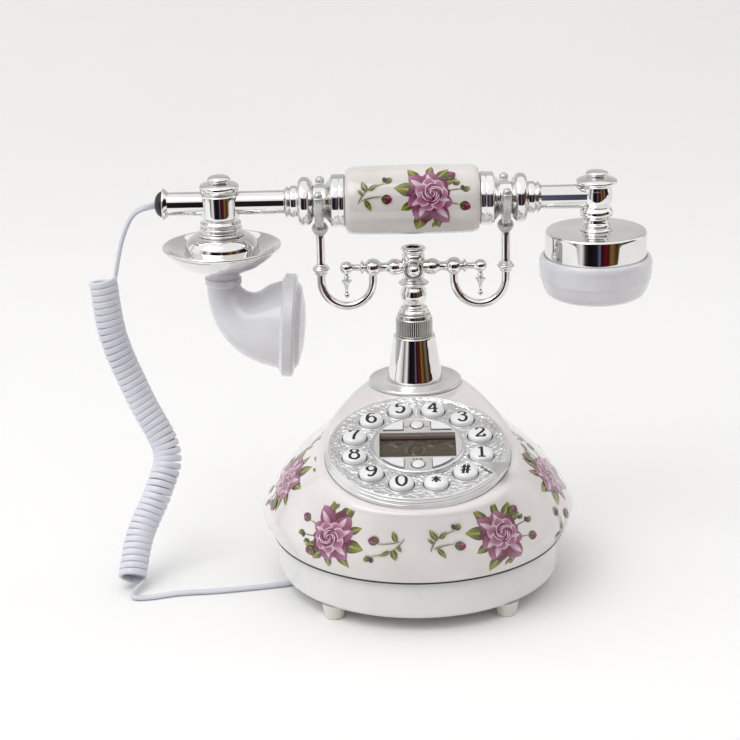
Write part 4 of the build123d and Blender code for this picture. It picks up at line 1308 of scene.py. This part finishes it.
def build_studio():
    """Pale sweep of paper, a bright room with a darker side behind the camera, and the camera."""
    profile = [(-400, 0), (900, 0), (1250, 30), (1500, 160), (1640, 420), (1700, 900), (1700, 2600)]
    line = refined([Vector((y, z)) for y, z in rounded(profile, False, 200, 3)], False, 60)
    sweep_rows = [[(x, point[0], point[1]) for x in (-2600, 0, 2600)] for point in line]
    paper = Shape()
    paper.grid(sweep_rows)
    finish("paper", (242, 242, 241), (244, 244, 243), (0.7, 0.8), patches=2.0)
    floor = make_piece("studio_paper", paper, "paper", None)
    build_world()
    key = bpy.data.lights.new("key_light", "AREA")
    key.energy = 17
    key.size = 1.6
    lamp = bpy.data.objects.new("key_light", key)
    lamp.location = (-0.9, -0.9, 1.9)
    lamp.rotation_euler = (Vector((0, 0, 0.08)) - lamp.location).to_track_quat("-Z", "Y").to_euler()
    bpy.context.scene.collection.objects.link(lamp)
    build_camera()
    bpy.context.scene.view_settings.view_transform = "Standard"


# Colours round the room behind the camera, from left to right: (place, display colour)
ROOM_COLOURS = [
    (0.0, (250, 250, 250)), (0.08, (196, 190, 192)), (0.11, (96, 84, 82)),
    (0.14, (186, 184, 190)), (0.19, (236, 236, 238)), (0.23, (70, 62, 58)),
    (0.27, (22, 20, 20)), (0.37, (34, 32, 36)), (0.40, (96, 98, 122)),
    (0.42, (20, 18, 18)), (0.47, (92, 26, 36)), (0.50, (44, 26, 22)),
    (0.54, (126, 92, 50)), (0.60, (54, 38, 26)), (0.66, (112, 104, 88)),
    (0.71, (60, 44, 34)), (0.78, (26, 20, 18)), (0.84, (84, 60, 48)),
    (0.88, (250, 250, 250))
]


def build_world():
    """Bright all round, with upright bands of dark cloth and timber behind the camera."""
    world = bpy.data.worlds.new("studio")
    world.use_nodes = True
    bpy.context.scene.world = world
    tree = world.node_tree
    background = tree.nodes["Background"]
    background.inputs["Strength"].default_value = 1.08
    place = add_node(tree, "ShaderNodeTexCoord")
    split = add_node(tree, "ShaderNodeSeparateXYZ")
    azimuth = add_node(tree, "ShaderNodeMath", operation="ARCTAN2")
    backwards = add_node(tree, "ShaderNodeMath", operation="MULTIPLY")
    backwards.inputs[1].default_value = -1.0
    across = add_node(tree, "ShaderNodeMapRange", From_Min=-1.3, From_Max=2.1)
    ramp = colour_ramp(tree, ROOM_COLOURS)
    low = add_node(tree, "ShaderNodeMapRange", From_Min=-0.62, From_Max=-0.5)
    high = add_node(tree, "ShaderNodeMapRange", From_Min=0.54, From_Max=0.42)
    band = add_node(tree, "ShaderNodeMath", operation="MULTIPLY")
    mix = add_node(tree, "ShaderNodeMix", data_type="RGBA")
    mix.inputs[6].default_value = (1.0, 1.0, 1.0, 1.0)
    seen = add_node(tree, "ShaderNodeLightPath")
    plain = add_node(tree, "ShaderNodeBackground", Color=(0.9, 0.9, 0.895, 1.0))
    choice = add_node(tree, "ShaderNodeMixShader")
    wire(tree, (place, "Generated", split, "Vector"), (split, "Y", backwards, 0),
         (split, "X", azimuth, 0), (backwards, "Value", azimuth, 1), (azimuth, "Value", across, "Value"),
         (across, "Result", ramp, "Fac"), (split, "Z", low, "Value"), (split, "Z", high, "Value"),
         (low, "Result", band, 0), (high, "Result", band, 1), (band, "Value", mix, 0), (ramp, "Color", mix, 7),
         (mix, 2, background, "Color"), (seen, "Is Camera Ray", choice, 0),
         (background, "Background", choice, 1), (plain, "Background", choice, 2),
         (choice, "Shader", tree.nodes["World Output"], "Surface"))


def build_camera():
    """Long lens about one metre away, a little above the phone."""
    yaw = math.radians(0.72)
    pitch = math.radians(18.9)
    roll = math.radians(-1.33)
    right = Vector((math.cos(yaw), math.sin(yaw), 0))
    forward = Vector((-math.sin(yaw) * math.cos(pitch), math.cos(yaw) * math.cos(pitch), -math.sin(pitch)))
    up = right.cross(forward)
    right_rolled = right * math.cos(roll) + up * math.sin(roll)
    up_rolled = up * math.cos(roll) - right * math.sin(roll)
    camera = bpy.data.objects.new("camera", bpy.data.cameras.new("camera"))
    axes = Matrix((right_rolled, up_rolled, -forward)).transposed().to_4x4()
    camera.matrix_world = Matrix.Translation((-0.0111, -1.0169, 0.4644)) @ axes
    camera.data.lens = 100
    camera.data.sensor_width = 36.0
    bpy.context.scene.collection.objects.link(camera)
    bpy.context.scene.camera = camera


# ---------------------------------------------------------------- assembly


def build_prints(sides):
    """Rose prints round the body and one on the grip."""
    surface = BodySurface(sides)
    prints = [
        ("rose_print_front_right", BOUQUET, -58.5, 24.5, 0, 1.05),
        ("rose_print_front_left", BOUQUET, -124.5, 24.5, 180, 1.05),
        ("rose_print_right", BOUQUET, -13, 40, 62, 1.1),
        ("rose_print_left", BOUQUET, 193, 40, -118, 1.1),
        ("rose_print_back_right", BOUQUET, 50, 30, 0, 1.1),
        ("rose_print_back_left", BOUQUET, 116, 30, 180, 1.1),
        ("sprig_print_right", SPRIG, -3, 66, 105, 1.0), ("sprig_print_left", SPRIG, 183, 66, 75, 1.0)
    ]
    for name, artwork, degrees, rise, turn, scale in prints:
        angle = math.radians(degrees)

        def lay(across, up, lift, angle=angle, rise=rise):
            return surface.place(angle, rise, across, up, lift)

        printed(name, "base", artwork, lay, scale, turn)

    def wrap(across, up, lift):
        radius = 18.4 - 0.0004 * (across + 9) ** 2 + lift
        turned = up / GRIP_RADIUS + math.radians(20)
        y = PEDESTAL_Y - radius * math.cos(turned)
        return Vector((across + 9, y, AXIS_Z + radius * math.sin(turned)))

    printed("rose_print_grip", "handset", BOUQUET, wrap, 1.0)


dress_cad_nodes()
body_sides = build_body()
build_prints(body_sides)
build_dial()
build_pedestal()
build_cradle()
build_handset_bar()
build_mouthpiece()
build_earpiece()
build_cord()
build_studio()
